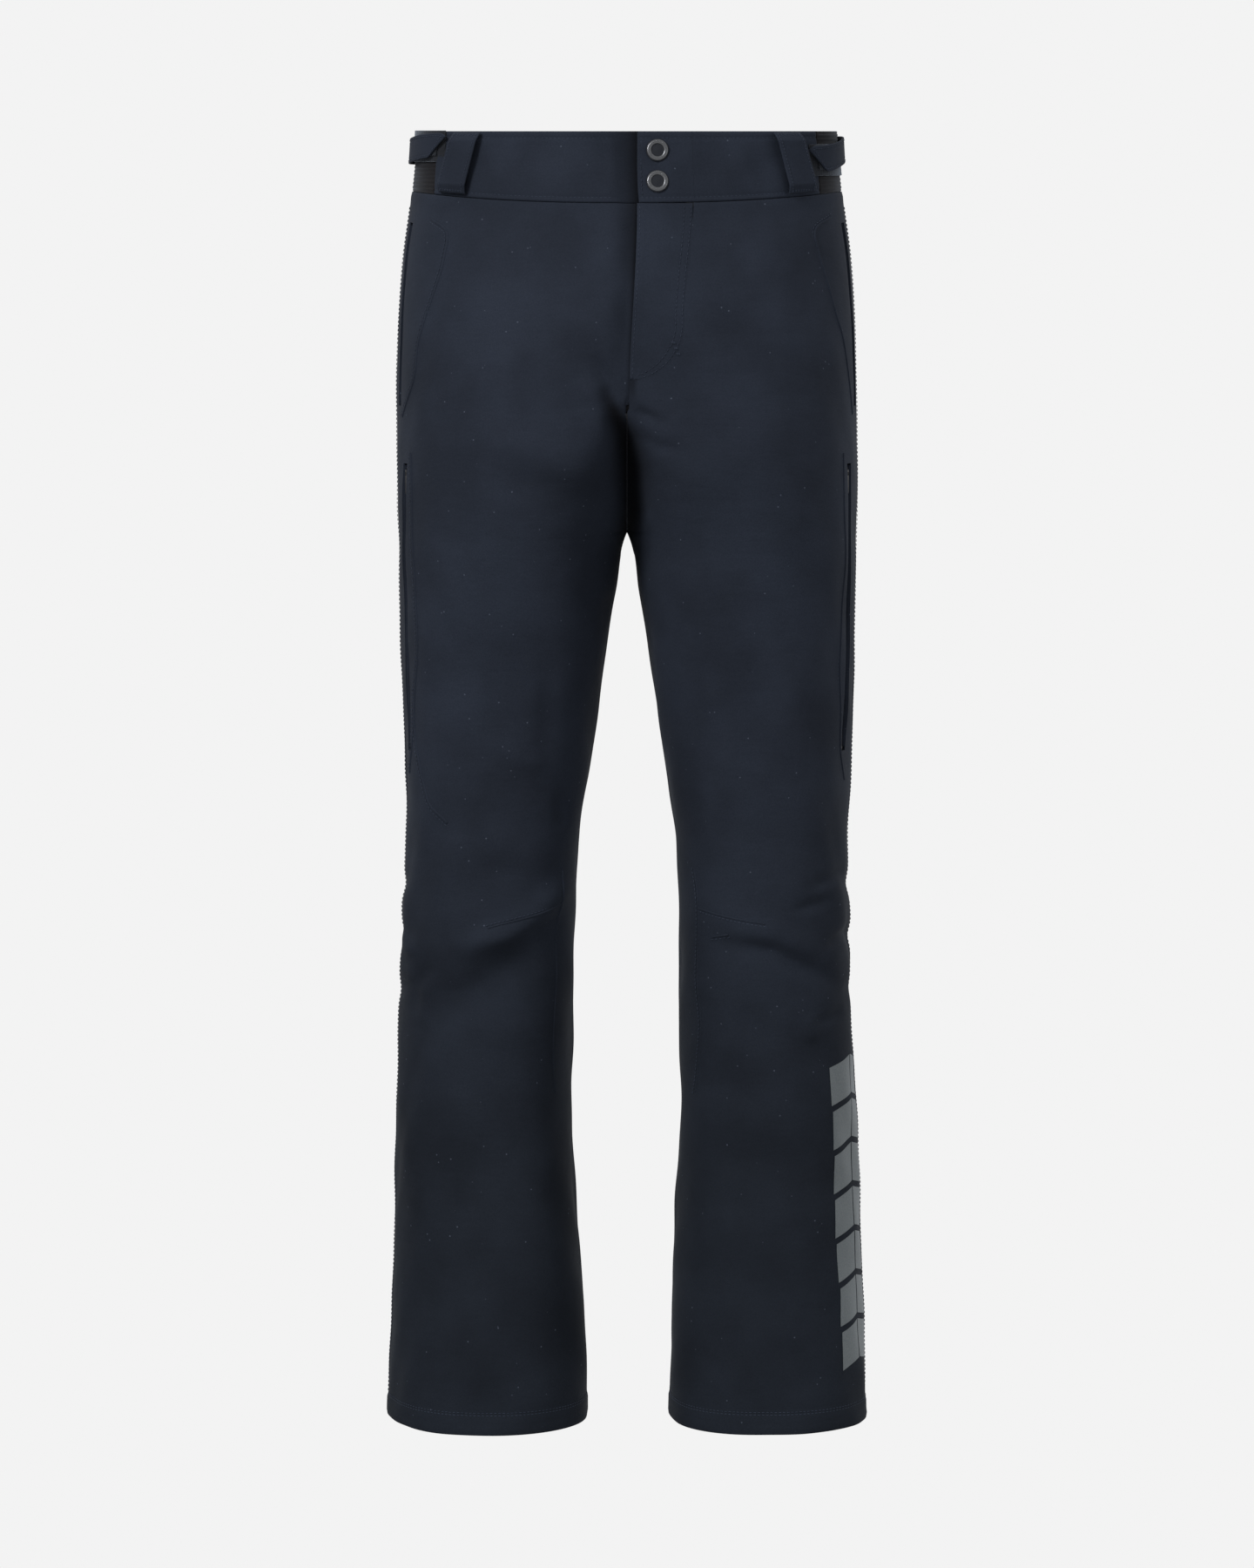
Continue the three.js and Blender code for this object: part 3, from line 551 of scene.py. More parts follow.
def metal_material(name, color, roughness, metallic=0.9, wear=0.1, gloss=0.5):
    """Cast or plated metal with fine scratches and uneven gloss."""
    material, nodes, links = new_material(name)
    shader = nodes["Principled BSDF"]
    shader.inputs["Metallic"].default_value = metallic
    shader.inputs["Specular IOR Level"].default_value = gloss
    place = nodes.new("ShaderNodeTexCoord").outputs["Object"]
    noise = nodes.new("ShaderNodeTexNoise")
    noise.inputs["Scale"].default_value = 700
    noise.inputs["Detail"].default_value = 4
    links.new(place, noise.inputs["Vector"])
    gloss = nodes.new("ShaderNodeMapRange")
    gloss.inputs["To Min"].default_value = roughness - wear
    gloss.inputs["To Max"].default_value = roughness + wear
    links.new(noise.outputs["Fac"], gloss.inputs["Value"])
    links.new(gloss.outputs[0], shader.inputs["Roughness"])
    mix = nodes.new("ShaderNodeMix")
    mix.data_type = "RGBA"
    mix.inputs[6].default_value = tuple(c * 0.82 for c in color[:3]) + (1,)
    mix.inputs[7].default_value = tuple(color[:3]) + (1,)
    links.new(noise.outputs["Fac"], mix.inputs[0])
    links.new(mix.outputs[2], shader.inputs["Base Color"])
    bump = nodes.new("ShaderNodeBump")
    bump.inputs["Strength"].default_value = 0.12
    bump.inputs["Distance"].default_value = 0.0001
    links.new(noise.outputs["Fac"], bump.inputs["Height"])
    links.new(bump.outputs[0], shader.inputs["Normal"])
    return material


def material_called(name):
    """The finish of that name, made once from the panel's settings."""
    if name in MATERIALS:
        return MATERIALS[name]
    looks = bpy.context.scene.pants_looks
    shell, shin = tuple(looks.shell), tuple(looks.shin)
    stretch, trim = tuple(looks.stretch), tuple(looks.trim)
    makers = {
        # Painted shade on the shell cloth: it darkens into the shin colour below the knee and in its
        # marked folds.
        "shell_cloth": lambda: cloth_material(name, shell, foot=shin),
        "stretch_cloth": lambda: cloth_material(name, stretch, sheen=0.15, specks=0, rib=0.0016),
        "lining_cloth": lambda: cloth_material(name, tuple(looks.lining), 0.0005, specks=0),
        "thread": lambda: cloth_material(
            name, tuple(c * 1.8 for c in shell), 0.0003, 0.8, 0.05, 0.15, 0),
        "zip_tape": lambda: cloth_material(name, trim, 0.0006, 0.75, 0.2, specks=0),
        "hook_and_loop": lambda: cloth_material(
            name, tuple(c * 0.5 for c in trim), 0.0016, 0.98, 0.5, 0.3, 0),
        "print_ink": lambda: cloth_material(
            name, tuple(looks.print_ink), 0.0007, 0.55, 0.05, 0.05, 0),
        "zip_teeth": lambda: metal_material(name, (0.022, 0.024, 0.031), 0.5, 0.0, 0.1, 0.2),
        "dark_metal": lambda: metal_material(name, (0.018, 0.019, 0.022), 0.55),
        "snap_core": lambda: metal_material(name, (0.018, 0.02, 0.025), 0.8, 0, 0.05, 0.1),
        "bright_metal": lambda: metal_material(name, tuple(looks.snap_ring), 0.3, 0.85),
    }
    return makers[name]()


# ---- stitches --------------------------------------------------------------------------

def stitch_tree():
    """Geometry nodes that lay a row of stitches along each line of a wire mesh."""
    tree = bpy.data.node_groups.new("Stitch Rows", "GeometryNodeTree")
    face = tree.interface
    face.new_socket("Geometry", in_out="INPUT", socket_type="NodeSocketGeometry")
    for label, value in (("Pitch", 0.0034), ("Length", 0.0025), ("Thickness", 0.0005)):
        socket = face.new_socket(label, in_out="INPUT", socket_type="NodeSocketFloat")
        socket.default_value = value
    face.new_socket("Thread", in_out="INPUT", socket_type="NodeSocketMaterial")
    face.new_socket("Geometry", in_out="OUTPUT", socket_type="NodeSocketGeometry")
    n, link = tree.nodes, tree.links.new
    inputs, outputs = n.new("NodeGroupInput"), n.new("NodeGroupOutput")
    curve = n.new("GeometryNodeMeshToCurve")
    points = n.new("GeometryNodeCurveToPoints")
    points.mode = "LENGTH"
    ball = n.new("GeometryNodeMeshUVSphere")
    ball.inputs["Segments"].default_value = 6
    ball.inputs["Rings"].default_value = 4
    ball.inputs["Radius"].default_value = 0.5
    shape = n.new("ShaderNodeCombineXYZ")
    grow = n.new("GeometryNodeTransform")
    place = n.new("GeometryNodeInstanceOnPoints")
    real = n.new("GeometryNodeRealizeInstances")
    paint = n.new("GeometryNodeSetMaterial")
    link(inputs.outputs["Geometry"], curve.inputs["Mesh"])
    link(curve.outputs["Curve"], points.inputs["Curve"])
    link(inputs.outputs["Pitch"], points.inputs["Length"])
    link(inputs.outputs["Thickness"], shape.inputs["X"])
    link(inputs.outputs["Thickness"], shape.inputs["Y"])
    link(inputs.outputs["Length"], shape.inputs["Z"])
    link(ball.outputs["Mesh"], grow.inputs["Geometry"])
    link(shape.outputs[0], grow.inputs["Scale"])
    link(points.outputs["Points"], place.inputs["Points"])
    link(points.outputs["Rotation"], place.inputs["Rotation"])
    link(grow.outputs[0], place.inputs["Instance"])
    link(place.outputs[0], real.inputs[0])
    link(real.outputs[0], paint.inputs["Geometry"])
    link(inputs.outputs["Thread"], paint.inputs["Material"])
    link(paint.outputs[0], outputs.inputs[0])
    return tree


def run_nodes(wire, tree, values, name):
    """Applies a geometry node tree to a wire object and returns the plain mesh piece."""
    modifier = wire.modifiers.new("rows", "NODES")
    modifier.node_group = tree
    sockets = {s.name: s.identifier for s in tree.interface.items_tree if s.in_out == "INPUT"}
    for label, value in values.items():
        modifier[sockets[label]] = value
    wire.update_tag()
    bpy.context.view_layer.update()
    graph = bpy.context.evaluated_depsgraph_get()
    mesh = bpy.data.meshes.new_from_object(wire.evaluated_get(graph))
    mesh.name = name
    piece = bpy.data.objects.new(name, mesh)
    bpy.context.scene.collection.objects.link(piece)
    bpy.data.objects.remove(wire)
    for polygon in mesh.polygons:
        polygon.use_smooth = True
    return piece


def wire_object(name, lines):
    name = name + "_rows"
    verts, edges = [], []
    for line in lines:
        start = len(verts)
        verts += [tuple(p) for p in line]
        edges += [(start + i, start + i + 1) for i in range(len(line) - 1)]
    mesh = bpy.data.meshes.new(name)
    mesh.from_pydata(verts, edges, [])
    obj = bpy.data.objects.new(name, mesh)
    bpy.context.scene.collection.objects.link(obj)
    return obj


def stitches(name, lines, body=None, bend=None, pitch=0.0034):
    tree = bpy.data.node_groups.get("Stitch Rows") or stitch_tree()
    thread = material_called("thread")
    values = {"Pitch": pitch, "Length": pitch * 0.72, "Thickness": 0.0006, "Thread": thread}
    piece = run_nodes(wire_object(name, lines), tree, values, name)
    return declare(piece, thread, body=body, bend=bend)


def dense(points, step=0.002):
    """A smooth path through given points (first two columns), finely stepped."""
    p = np.array(points, float)
    chord = np.concatenate([[0], np.cumsum(np.linalg.norm(np.diff(p, axis=0), axis=1))])
    count = max(2, int(chord[-1] / step))
    s = np.linspace(0, chord[-1], count)
    if len(p) < 3:
        return np.stack([np.interp(s, chord, p[:, k]) for k in range(p.shape[1])], -1)
    slopes = np.gradient(p, chord, axis=0)
    i = np.clip(np.searchsorted(chord, s), 1, len(p) - 1)
    span = (chord[i] - chord[i - 1])[:, None]
    t = (s - chord[i - 1])[:, None] / span
    a, b, sa, sb = p[i - 1], p[i], slopes[i - 1] * span, slopes[i] * span
    rise = b - a
    return a + t * (sa + t * (3 * rise - 2 * sa - sb + t * (sa + sb - 2 * rise)))


def front_row(points, offset=0.0002, face=-1):
    """A line on the front given in millimetres, as points in metres on the cloth."""
    path = dense(np.array(points, float) * MM)
    return front_point(path[:, 0], path[:, 1], offset, face)


def side_row(side, points, offset=0.0002):
    """A line on one leg given as (angle in degrees, height in millimetres)."""
    raw = np.array(points, float)
    path = dense(np.stack([raw[:, 0] * 1.6, raw[:, 1]], -1) * MM)
    return cloth_point(side, np.radians(path[:, 0] / MM / 1.6), path[:, 1], offset)


def welt(name, line, width, height):
    """A raised seam: a low crowned strip along a line of points on the cloth."""
    line = np.asarray(line)
    ahead = np.gradient(line, axis=0)
    ahead /= np.linalg.norm(ahead, axis=1, keepdims=True)
    side = np.where(line[:, :1] < 0, -1.0, 1.0)
    out = line * (1, 1, 0) - np.stack([side[:, 0] * 0.1, 0 * side[:, 0], 0 * side[:, 0]], -1)
    out /= np.linalg.norm(out, axis=1, keepdims=True)
    across = np.cross(ahead, out)
    across /= np.linalg.norm(across, axis=1, keepdims=True)
    out = np.cross(across, ahead)
    turns = np.linspace(0, 2 * math.pi, 9)[:-1]
    ring = [
        line + across * (math.cos(t) * width / 2) + out * (math.sin(t) * height)
        for t in turns
    ]
    rows = len(line)
    verts = np.stack(ring, 1).reshape(-1, 3)
    faces = grid_faces(rows, 8, 0, True)
    faces += [tuple(range(8)), tuple(reversed(range((rows - 1) * 8, rows * 8)))]
    return new_object(name, verts, faces)


# ---- the leg panels --------------------------------------------------------------------

# A side zip's opening: angle from the side seam, and the heights of its ends.
POCKET = {"angle": math.radians(12), "top": -0.073, "foot": -0.220}
VENT = {"angle": math.radians(23), "top": -0.265, "foot": -0.498}
SLOT_HALF = 0.0054
LEG_END = math.pi - 0.002


def flap_edge(z):
    """Distance of the fly flap's free edge from the centre plane."""
    return LAP_EDGE - 0.0065 * smooth(-z, BAND_CENTRE, FLY_DROP)


def fly_border(z):
    """The J-shaped line on which the fly flap is sewn to the left front panel."""
    top = 0.045 + 0.007 * smooth(z, -0.15, -0.056)
    curl = 0.003 + 0.042 * np.sqrt(np.clip(1 - ((z + 0.15) / 0.045) ** 2, 0, 1))
    return np.where(z > -0.15, top, np.maximum(curl, 0.003))


def panel_end(side, face, z):
    """Signed distance past the centre plane (positive) or short of it, above the crotch."""
    if face > 0:
        return np.full_like(z, -0.0002)
    if side > 0:
        left = np.where(z > -0.195, -fly_border(z), -flap_edge(z))
        return np.where(z < -FLY_DROP, -0.0002, left)
    under = flap_edge(z) + 0.0026
    return under + (-0.0003 - under) * smooth(-z, 0.205, 0.219)


def arc_rate(side, angle, z):
    e = 0.01
    step = bare_skin(side, angle + e, z) - bare_skin(side, angle - e, z)
    return np.linalg.norm(step, axis=-1) / (2 * e)


def leg_rows():
    knots = [-0.048, -0.0485, -0.0495, -0.052, -0.058, -0.065, POCKET["top"], POCKET["foot"],
             VENT["top"], VENT["foot"], -1.0505, -1.0525, -1.0535, -OUTSEAM]
    rows = list(np.arange(0.069, 0.55, 0.0033)) + list(np.arange(0.55, 0.73, 0.0024))
    rows += list(np.arange(0.73, 1.05, 0.0036)) + list(np.arange(0.16, 0.224, 0.0011))
    rows = np.array([-r for r in rows])
    keep = np.array([min(abs(r - k) for k in knots) > 0.0007 for r in rows])
    return np.unique(np.concatenate([rows[keep], knots]))[::-1]


def leg_columns(side, face, z):
    """Side and angle of every grid point, row by row; slots hold columns 8-10 and 16-18."""
    first = np.radians(0.03)
    if face < 0:
        stops = []
        for slot in (POCKET, VENT):
            half = SLOT_HALF / arc_rate(side, -slot["angle"], z)
            stops += [slot["angle"] - half, slot["angle"] + half]
    else:
        stops = [z * 0 + math.radians(a) for a in (9.5, 14.5, 20.5, 25.5)]
    end = panel_end(side, face, z)
    above = z > -0.3229
    centre = angle_at(np.maximum(-end, 0.0002), z)
    last = np.where(above, centre, LEG_END)
    counts = (7, 2, 6, 2, 58)
    edges = [first + 0 * z, *stops, last]
    columns, sides = [], []
    for k, count in enumerate(counts):
        share = np.linspace(0, 1, count + 1)[:-1]
        if k == 0:
            share = np.concatenate([[0, 0.03, 0.09, 0.18], share[2:]])
        if k == 4:
            share = np.concatenate([share, [0.991, 0.996, 0.9985, 1]])
        columns += [edges[k] + (edges[k + 1] - edges[k]) * t for t in share]
    angles = np.stack(columns, 1)
    sides = np.full_like(angles, side)
    if face < 0 and side < 0:
        extra = np.linspace(0, 1, 7)[1:]
        reach = np.where(above, np.maximum(end, 0.0), 0.0)
        more = angle_at(np.maximum(0.0002, reach[:, None] * extra), z[:, None])
        more = np.where(above[:, None], more, LEG_END)
        crossed = np.where((above & (end > 0.0003))[:, None], 1.0, -1.0) * np.ones_like(more)
        angles = np.concatenate([angles, more], 1)
        sides = np.concatenate([sides, crossed], 1)
    return sides, face * angles


def slot_mask(rows, columns, face):
    """Which cells of a leg panel carry cloth: a front panel is open over its two zips."""
    mask = np.ones((len(rows) - 1, columns - 1), bool)
    if face < 0:
        middle = (rows[1:] + rows[:-1]) / 2
        for slot, first in ((POCKET, 9), (VENT, 17)):
            inside = (middle < slot["top"]) & (middle > slot["foot"])
            mask[inside, first:first + 2] = False
    return mask


def masked_cloth(name, outer, inner, mask):
    """A closed cloth from two grids of points, with cloth only where the mask is true."""
    rows, columns = outer.shape[:2]
    count = rows * columns
    faces = []
    for r, c in zip(*np.nonzero(mask)):
        a = int(r * columns + c)
        b, d, e = a + 1, a + columns, a + columns + 1
        faces.append((a, d, e, b))
        faces.append((a + count, b + count, e + count, d + count))
    padded = np.pad(mask, 1)
    for r, c in zip(*np.nonzero(padded[1:, 1:-1] != padded[:-1, 1:-1])):
        a = int(r * columns + c)
        faces.append((a, a + 1, a + 1 + count, a + count))
    for r, c in zip(*np.nonzero(padded[1:-1, 1:] != padded[1:-1, :-1])):
        a = int(r * columns + c)
        faces.append((a, a + columns, a + columns + count, a + count))
    obj = new_object(name, np.concatenate([outer.reshape(-1, 3), inner.reshape(-1, 3)]), faces)
    edit = bmesh.new()
    edit.from_mesh(obj.data)
    loose = [v for v in edit.verts if not v.link_faces]
    bmesh.ops.delete(edit, geom=loose, context="VERTS")
    edit.to_mesh(obj.data)
    edit.free()
    return obj


def paint_fold_shade(obj):
    """Stores each point's share of the painted shade in the folds at the fly's edge and the crotch."""
    points = np.array([v.co for v in obj.data.vertices])
    x, y, z = points.T
    edge = flap_edge(z)
    wide = 0.0115 - 0.0085 * smooth(-z, 0.075, 0.15)
    fly = 0.85 * np.exp(-((np.clip(edge + 0.001 - x, 0, 1) / wide) ** 1.4)) * (x < edge + 0.004)
    fly = fly * (1 - smooth(-z, FLAP_FOOT, FLY_DROP)) * (1 - 0.4 * smooth(-z, 0.1, 0.18))
    shade = np.where(y < 0, np.maximum(fly, 0.93 * crotch_fold(x, z)), 0)
    layer = obj.data.attributes.new("painted_fold_shade", "FLOAT", "POINT")
    layer.data.foreach_set("value", shade.astype(np.float32))


def leg_panel(side, word, face, face_word):
    rows = leg_rows()
    sides, angles = leg_columns(side, face, rows)
    top = band_foot(angles[5]) - SEAM
    fade = np.clip((rows[:, None] + 0.048) / (-0.070 + 0.048), 0, 1)
    z = np.where(rows[:, None] > -0.070, top + fade * (-0.070 - top), rows[:, None])
    flat = cloth_point(sides, angles, z, 0.0)
    near = edge_distance(flat, False)
    if face < 0 and side > 0:
        near = np.where(z > -FLAP_FOOT, edge_distance(flat, False, True), near)
    pinch = CLOTH / 2 * (1 - np.sqrt(1 - np.clip(1 - near / 0.0007, 0, 0.999) ** 2))
    roll = 0.0005 * np.exp(-(((near - 0.0042) / 0.002) ** 2))
    hem = 0.0009 * smooth(-z, 1.0385, 1.0395)
    dip = 0.0
    if face < 0 and side < 0:
        x = flat[..., 0]
        edge = flap_edge(z)
        valley = 0.0019 + 0.0026 * smooth(-z, 0.055, 0.08) * (1 - smooth(-z, 0.16, 0.195))
        dip = -valley * smooth(x, edge - 0.02, edge - 0.0035) * (1 - smooth(-z, 0.216, 0.236))
    outer = cloth_point(sides, angles, z, roll + dip + hem - pinch)
    inner = cloth_point(sides, angles, z, dip - CLOTH + pinch)
    name = f"{word}_{face_word}_leg_cloth"
    obj = masked_cloth(name, outer, inner, slot_mask(rows, z.shape[1], face))
    # Painted shade in the deep folds at the fly's edge and the crotch.
    paint_fold_shade(obj)
    nodes = [f"{word}_{face_word}_{part}_panel" for part in ("thigh", "knee", "shin")]
    material = material_called("shell_cloth")
    declare(obj, material, nodes, bend=knee_bend(word))
    return obj


SEAM_ROWS = {
    1: [
        [(54, -592), (58, -624), (58, -691), (60, -722), (57, -778)],
        [(58, -624), (84, -629), (111, -633)],
        [(69, -646), (82, -643)],
    ],
    -1: [
        [(-53, -592), (-56, -618), (-57, -691), (-59, -722), (-57, -778)],
        [(-57, -620), (-84, -628), (-112, -636)],
    ],
}
PLACKETS = {
    1: [
        [(29, -256), (31, -300), (30, -344), (33, -406), (33, -428), (30, -468), (28, -498),
         (20, -522)],
        [(24, -68), (35, -78), (35, -97), (32, -120), (28, -148), (25, -161), (21, -190),
         (17, -226)],
    ],
    -1: [
        [(29, -256), (33, -311), (37, -370), (38, -421), (33, -455), (28.5, -495), (22, -516)],
        [(30, -70), (39, -79), (40, -101), (36, -133), (32, -154), (30, -167), (28, -197),
         (18, -228)],
        [(39, -421), (33, -477), (37, -499), (44, -525), (49, -537), (63, -552)],
    ],
}


def seam_lines(side):
    """Sewn lines of one leg: a list of (name, points on the cloth)."""
    lines = []
    for index, row in enumerate(SEAM_ROWS[side]):
        lines.append((f"knee_seam_{index + 1}", front_row(row)))
    for index, row in enumerate(PLACKETS[side]):
        turned = [(-angle, drop) for angle, drop in row]
        lines.append((f"placket_{index + 1}", side_row(side, turned)))
    return lines


def shifted(line, distance):
    """A line moved sideways over the cloth by a distance."""
    line = np.asarray(line)
    ahead = np.gradient(line, axis=0)
    ahead /= np.linalg.norm(ahead, axis=1, keepdims=True)
    out = line * (1, 1, 0)
    out = out - np.stack([np.sign(line[:, 0]) * 0.1, 0 * line[:, 0], 0 * line[:, 0]], -1)
    across = np.cross(ahead, out)
    across /= np.linalg.norm(across, axis=1, keepdims=True)
    return line + across * distance


class PANTS_OT_legs(Operator):
    """Make the four leg panels with their folds, seams, darts and stitching"""

    bl_idname = "pants.legs"
    bl_label = "Leg Panels"

    def execute(self, context):
        for side, word in SIDES:
            bend = knee_bend(word)
            for face, face_word in ((-1, "front"), (1, "back")):
                leg_panel(side, word, face, face_word)
            sewn, welts = [], []
            for name, line in seam_lines(side):
                if name.startswith("knee"):
                    welts.append(welt(f"{word}_{name}", line, 0.0017, 0.00045))
                    sewn.append(shifted(line, 0.0022))
                else:
                    welts.append(welt(f"{word}_{name}", line, 0.0022, 0.0006))
                    sewn.append(shifted(line, 0.0024))
            ridge = joined(welts, f"{word}_seam_welts")
            declare(ridge, material_called("shell_cloth"), bend=bend)
            heights = np.arange(-0.062, -1.036, -0.003)
            for angle in (math.radians(2.2), math.radians(-2.2)):
                sewn.append(cloth_point(side, angle, heights, 0.0007))
            around = np.linspace(0, 2 * math.pi, 260)
            for drop in (1.0375, 1.0355):
                hem = cloth_point(side, around, -drop, 0.0003)
                sewn.append(hem)
            stitches(f"{word}_leg_stitches", sewn, bend=bend)
        return {"FINISHED"}


# ---- the waistband ---------------------------------------------------------------------

def band_angle(x):
    return angle_at(np.abs(x), -BAND_CENTRE / 2)


def band_surface(face):
    """Points of the band at a signed distance x and a share v of its height."""
    def surface(x, v, offset):
        angle = face * band_angle(x)
        return skin_point(np.where(x < 0, -1.0, 1.0), angle, v * band_foot(angle), offset)
    return surface


def side_band(side):
    """Points of the band at an angle from the side seam and a share v of its height."""
    def surface(angle, v, offset):
        return skin_point(side, angle, v * band_foot(angle), offset)
    return surface


def underlap(x):
    return -LAP_DROP * smooth(x, -0.015, LAP_EDGE - 0.003)


def padded_band(u, v):
    """A soft band: a low crown with slow waves, sunk along its stitched edges."""
    crown = 0.0009 * (1 - (2 * v - 1) ** 2)
    ease = np.sin(math.pi * v) * (0.0005 * np.sin(u * 137 + 4 * v) + 0.0004 * np.sin(u * 311 - 5 * v))
    groove = -0.0007 * (np.exp(-(((v - 0.1) / 0.02) ** 2)) + np.exp(-(((v - 0.93) / 0.02) ** 2)))
    return crown + ease + groove


BAND_ROWS = np.unique(np.concatenate([
    [0, 0.005, 0.012, 0.022, 0.035, 0.05, 0.06, 0.95, 0.965, 0.978, 0.988, 0.995, 1],
    np.linspace(0.07, 0.94, 30),
]))


def seam_tape(name, surface, heights, half=0.0055):
    """A narrow tape bonded behind a seam, from its points at a distance across it."""
    us = np.linspace(-half, half, 9)
    return soft_sheet(name, surface, us, heights, 0.0004, radius=0.0002,
                      lift=lambda u, v: -CLOTH - 0.00015 + 0 * u)


class PANTS_OT_tapes(Operator):
    """Make the waterproof tapes bonded behind the seams"""

    bl_idname = "pants.tapes"
    bl_label = "Seam Tapes"

    def execute(self, context):
        tape = material_called("zip_tape")
        for side, word in SIDES:
            pieces = []
            for seam, centre, top in (("side", 0.0, -0.0505), ("inner", math.pi, -0.327)):
                def across(u, z, offset, side=side, centre=centre):
                    return cloth_point(side, centre + u / arc_rate(side, centre + 0.05, z), z,
                                       offset)

                heights = np.linspace(top, -1.052, 300)
                pieces.append(seam_tape(f"{word}_{seam}_seam_tape", across, heights))
            obj = joined(pieces, f"{word}_seam_tapes")
            declare(obj, tape, bend=knee_bend(word))
        rises = []
        for face, top in ((-1, -0.222), (1, -0.0585)):
            def centre_line(u, z, offset, face=face):
                return front_point(u, z, offset, face)

            rises.append(seam_tape(f"rise_tape_{face}", centre_line,
                                   np.linspace(top, -0.3222, 90)))
        def fly_foot(u, z, offset):
            return front_point(u, z, offset - 0.0024)

        rises.append(seam_tape("fly_foot_stay", fly_foot, np.linspace(-0.2165, -0.25, 20), 0.013))
        for side, start in ((1, 0.0545), (-1, 0.013)):
            def round_waist(angle, v, offset, side=side):
                return skin_point(side, angle, band_foot(angle) + v, offset)

            first = -float(angle_at(np.array(start), np.array(-BAND_CENTRE)))
            last = float(angle_at(np.array(0.0003), np.array(-BAND_CENTRE)))
            rises.append(soft_sheet(f"waist_tape_{side}", round_waist,
                                    np.linspace(first, last, 150), np.linspace(0.004, -0.006, 7),
                                    0.0004, radius=0.0002, lift=lambda u, v: -0.0026 + 0 * u))
            for corner in (-STRETCH_ANGLE, STRETCH_ANGLE):
                def behind_band(u, v, offset, side=side, corner=corner):
                    angle = corner + u / 0.13
                    z = v * (band_foot(angle) + 0.001) - 0.0005
                    return skin_point(side, angle, z, offset)

                rises.append(soft_sheet(f"band_tape_{side}_{corner}", behind_band,
                                        np.linspace(-0.006, 0.006, 9), np.linspace(0, 1, 20),
                                        0.0004, radius=0.0002,
                                        lift=lambda u, v: -0.0036 + 0 * u))
        declare(joined(rises, "rise_seam_tape"), tape, body="seat")
        return {"FINISHED"}


class PANTS_OT_waistband(Operator):
    """Make the contoured waistband, its stretch sides and its stitching"""

    bl_idname = "pants.waistband"
    bl_label = "Waistband"

    def execute(self, context):
        shell = material_called("shell_cloth")
        end = bare_skin(1, -STRETCH_ANGLE - 0.0004, -BAND_CENTRE / 2)[0]
        front, back = band_surface(-1), band_surface(1)
        spans = (
            ("right_front_waistband", front, -end, 0.046, True),
            ("left_front_waistband", front, FLAP_ROOT + 0.0001, end, False),
            ("back_waistband", back, -end, end, False),
        )
        rows = []
        for node, surface, low, high, dips in spans:
            us = eased(low, high, int((high - low) / 0.0028), 0.0028)
            at_root = node == "left_front_waistband"
            us = us[::-1] if at_root else us

            def lift(u, v, dips=dips):
                return padded_band(u, v) * (1 - smooth(u, -0.014, -0.004) * dips) + (
                    underlap(u) if dips else 0)

            band = soft_sheet(node.replace("waistband", "band"), surface, us, BAND_ROWS,
                              BAND_CLOTH, radius=0.0016, lift=lift, open_end=at_root)
            # The band that dips under the overlap gets painted shade beside the overlap's edge.
            if dips:
                paint_fold_shade(band)
            declare(band, shell, [node], "seat")
            stop = -0.012 if dips else high - 0.002
            for share in (0.1, 0.93):
                u = np.arange(low + 0.002, stop, 0.002)
                v = np.full_like(u, share)
                rows.append(surface(u, v, padded_band(u, v) + 0.0001))
        stitches("waistband_stitches", rows, body="seat")
        for side, word in SIDES:
            us = eased(-STRETCH_ANGLE + 0.0008, STRETCH_ANGLE - 0.0008, 90, 0.02)
            vs = eased(0, 1, 46, 0.04)

            def ribbed(u, v):
                return 0.00035 * np.cos(v * 2 * math.pi * 15) - 0.0008 + 0.0006 * np.cos(u * 3)

            panel = soft_sheet(f"{word}_stretch_side", side_band(side), us, vs, BAND_CLOTH,
                               radius=0.0014, lift=ribbed)
            declare(panel, material_called("stretch_cloth"),
                    [f"{word}_stretch_panel"], "seat")
        return {"FINISHED"}


# ---- the fly ---------------------------------------------------------------------------

SNAP_X, SNAP_DROPS = 0.024, (("upper", 0.015), ("lower", 0.0395))


def lathe(name, profile, origin, axis, segments=48):
    """A closed turned piece: pairs of radius and height in millimetres along an axis."""
    turn = Vector((0, 0, 1)).rotation_difference(Vector(axis)).to_matrix().to_4x4()
    place = Matrix.Translation(Vector(origin)) @ turn
    edit = bmesh.new()
    previous = None
    for radius, height in profile:
        if radius == 0:
            ring = [edit.verts.new(place @ Vector((0, 0, height * MM)))]
        else:
            ring = [
                edit.verts.new(place @ Vector((
                    radius * MM * math.cos(2 * math.pi * k / segments),
                    radius * MM * math.sin(2 * math.pi * k / segments), height * MM)))
                for k in range(segments)
            ]
        if previous:
            for k in range(segments):
                j = (k + 1) % segments
                quad = [previous[k % len(previous)], previous[j % len(previous)],
                        ring[j % len(ring)], ring[k % len(ring)]]
                edit.faces.new(list(dict.fromkeys(quad)))
        previous = ring
    bmesh.ops.recalc_face_normals(edit, faces=edit.faces)
    mesh = bpy.data.meshes.new(name)
    edit.to_mesh(mesh)
    edit.free()
    obj = bpy.data.objects.new(name, mesh)
    context_link = bpy.context.scene.collection.objects.link
    context_link(obj)
    for polygon in mesh.polygons:
        polygon.use_smooth = True
    return obj


def snap_frame(drop):
    face = bare_skin(1.0, -angle_at(np.array(SNAP_X), np.array(-drop)), np.array(-drop))
    out = normals(np.array(1.0), -angle_at(np.array(SNAP_X), np.array(-drop)), np.array(-drop))
    return face, out


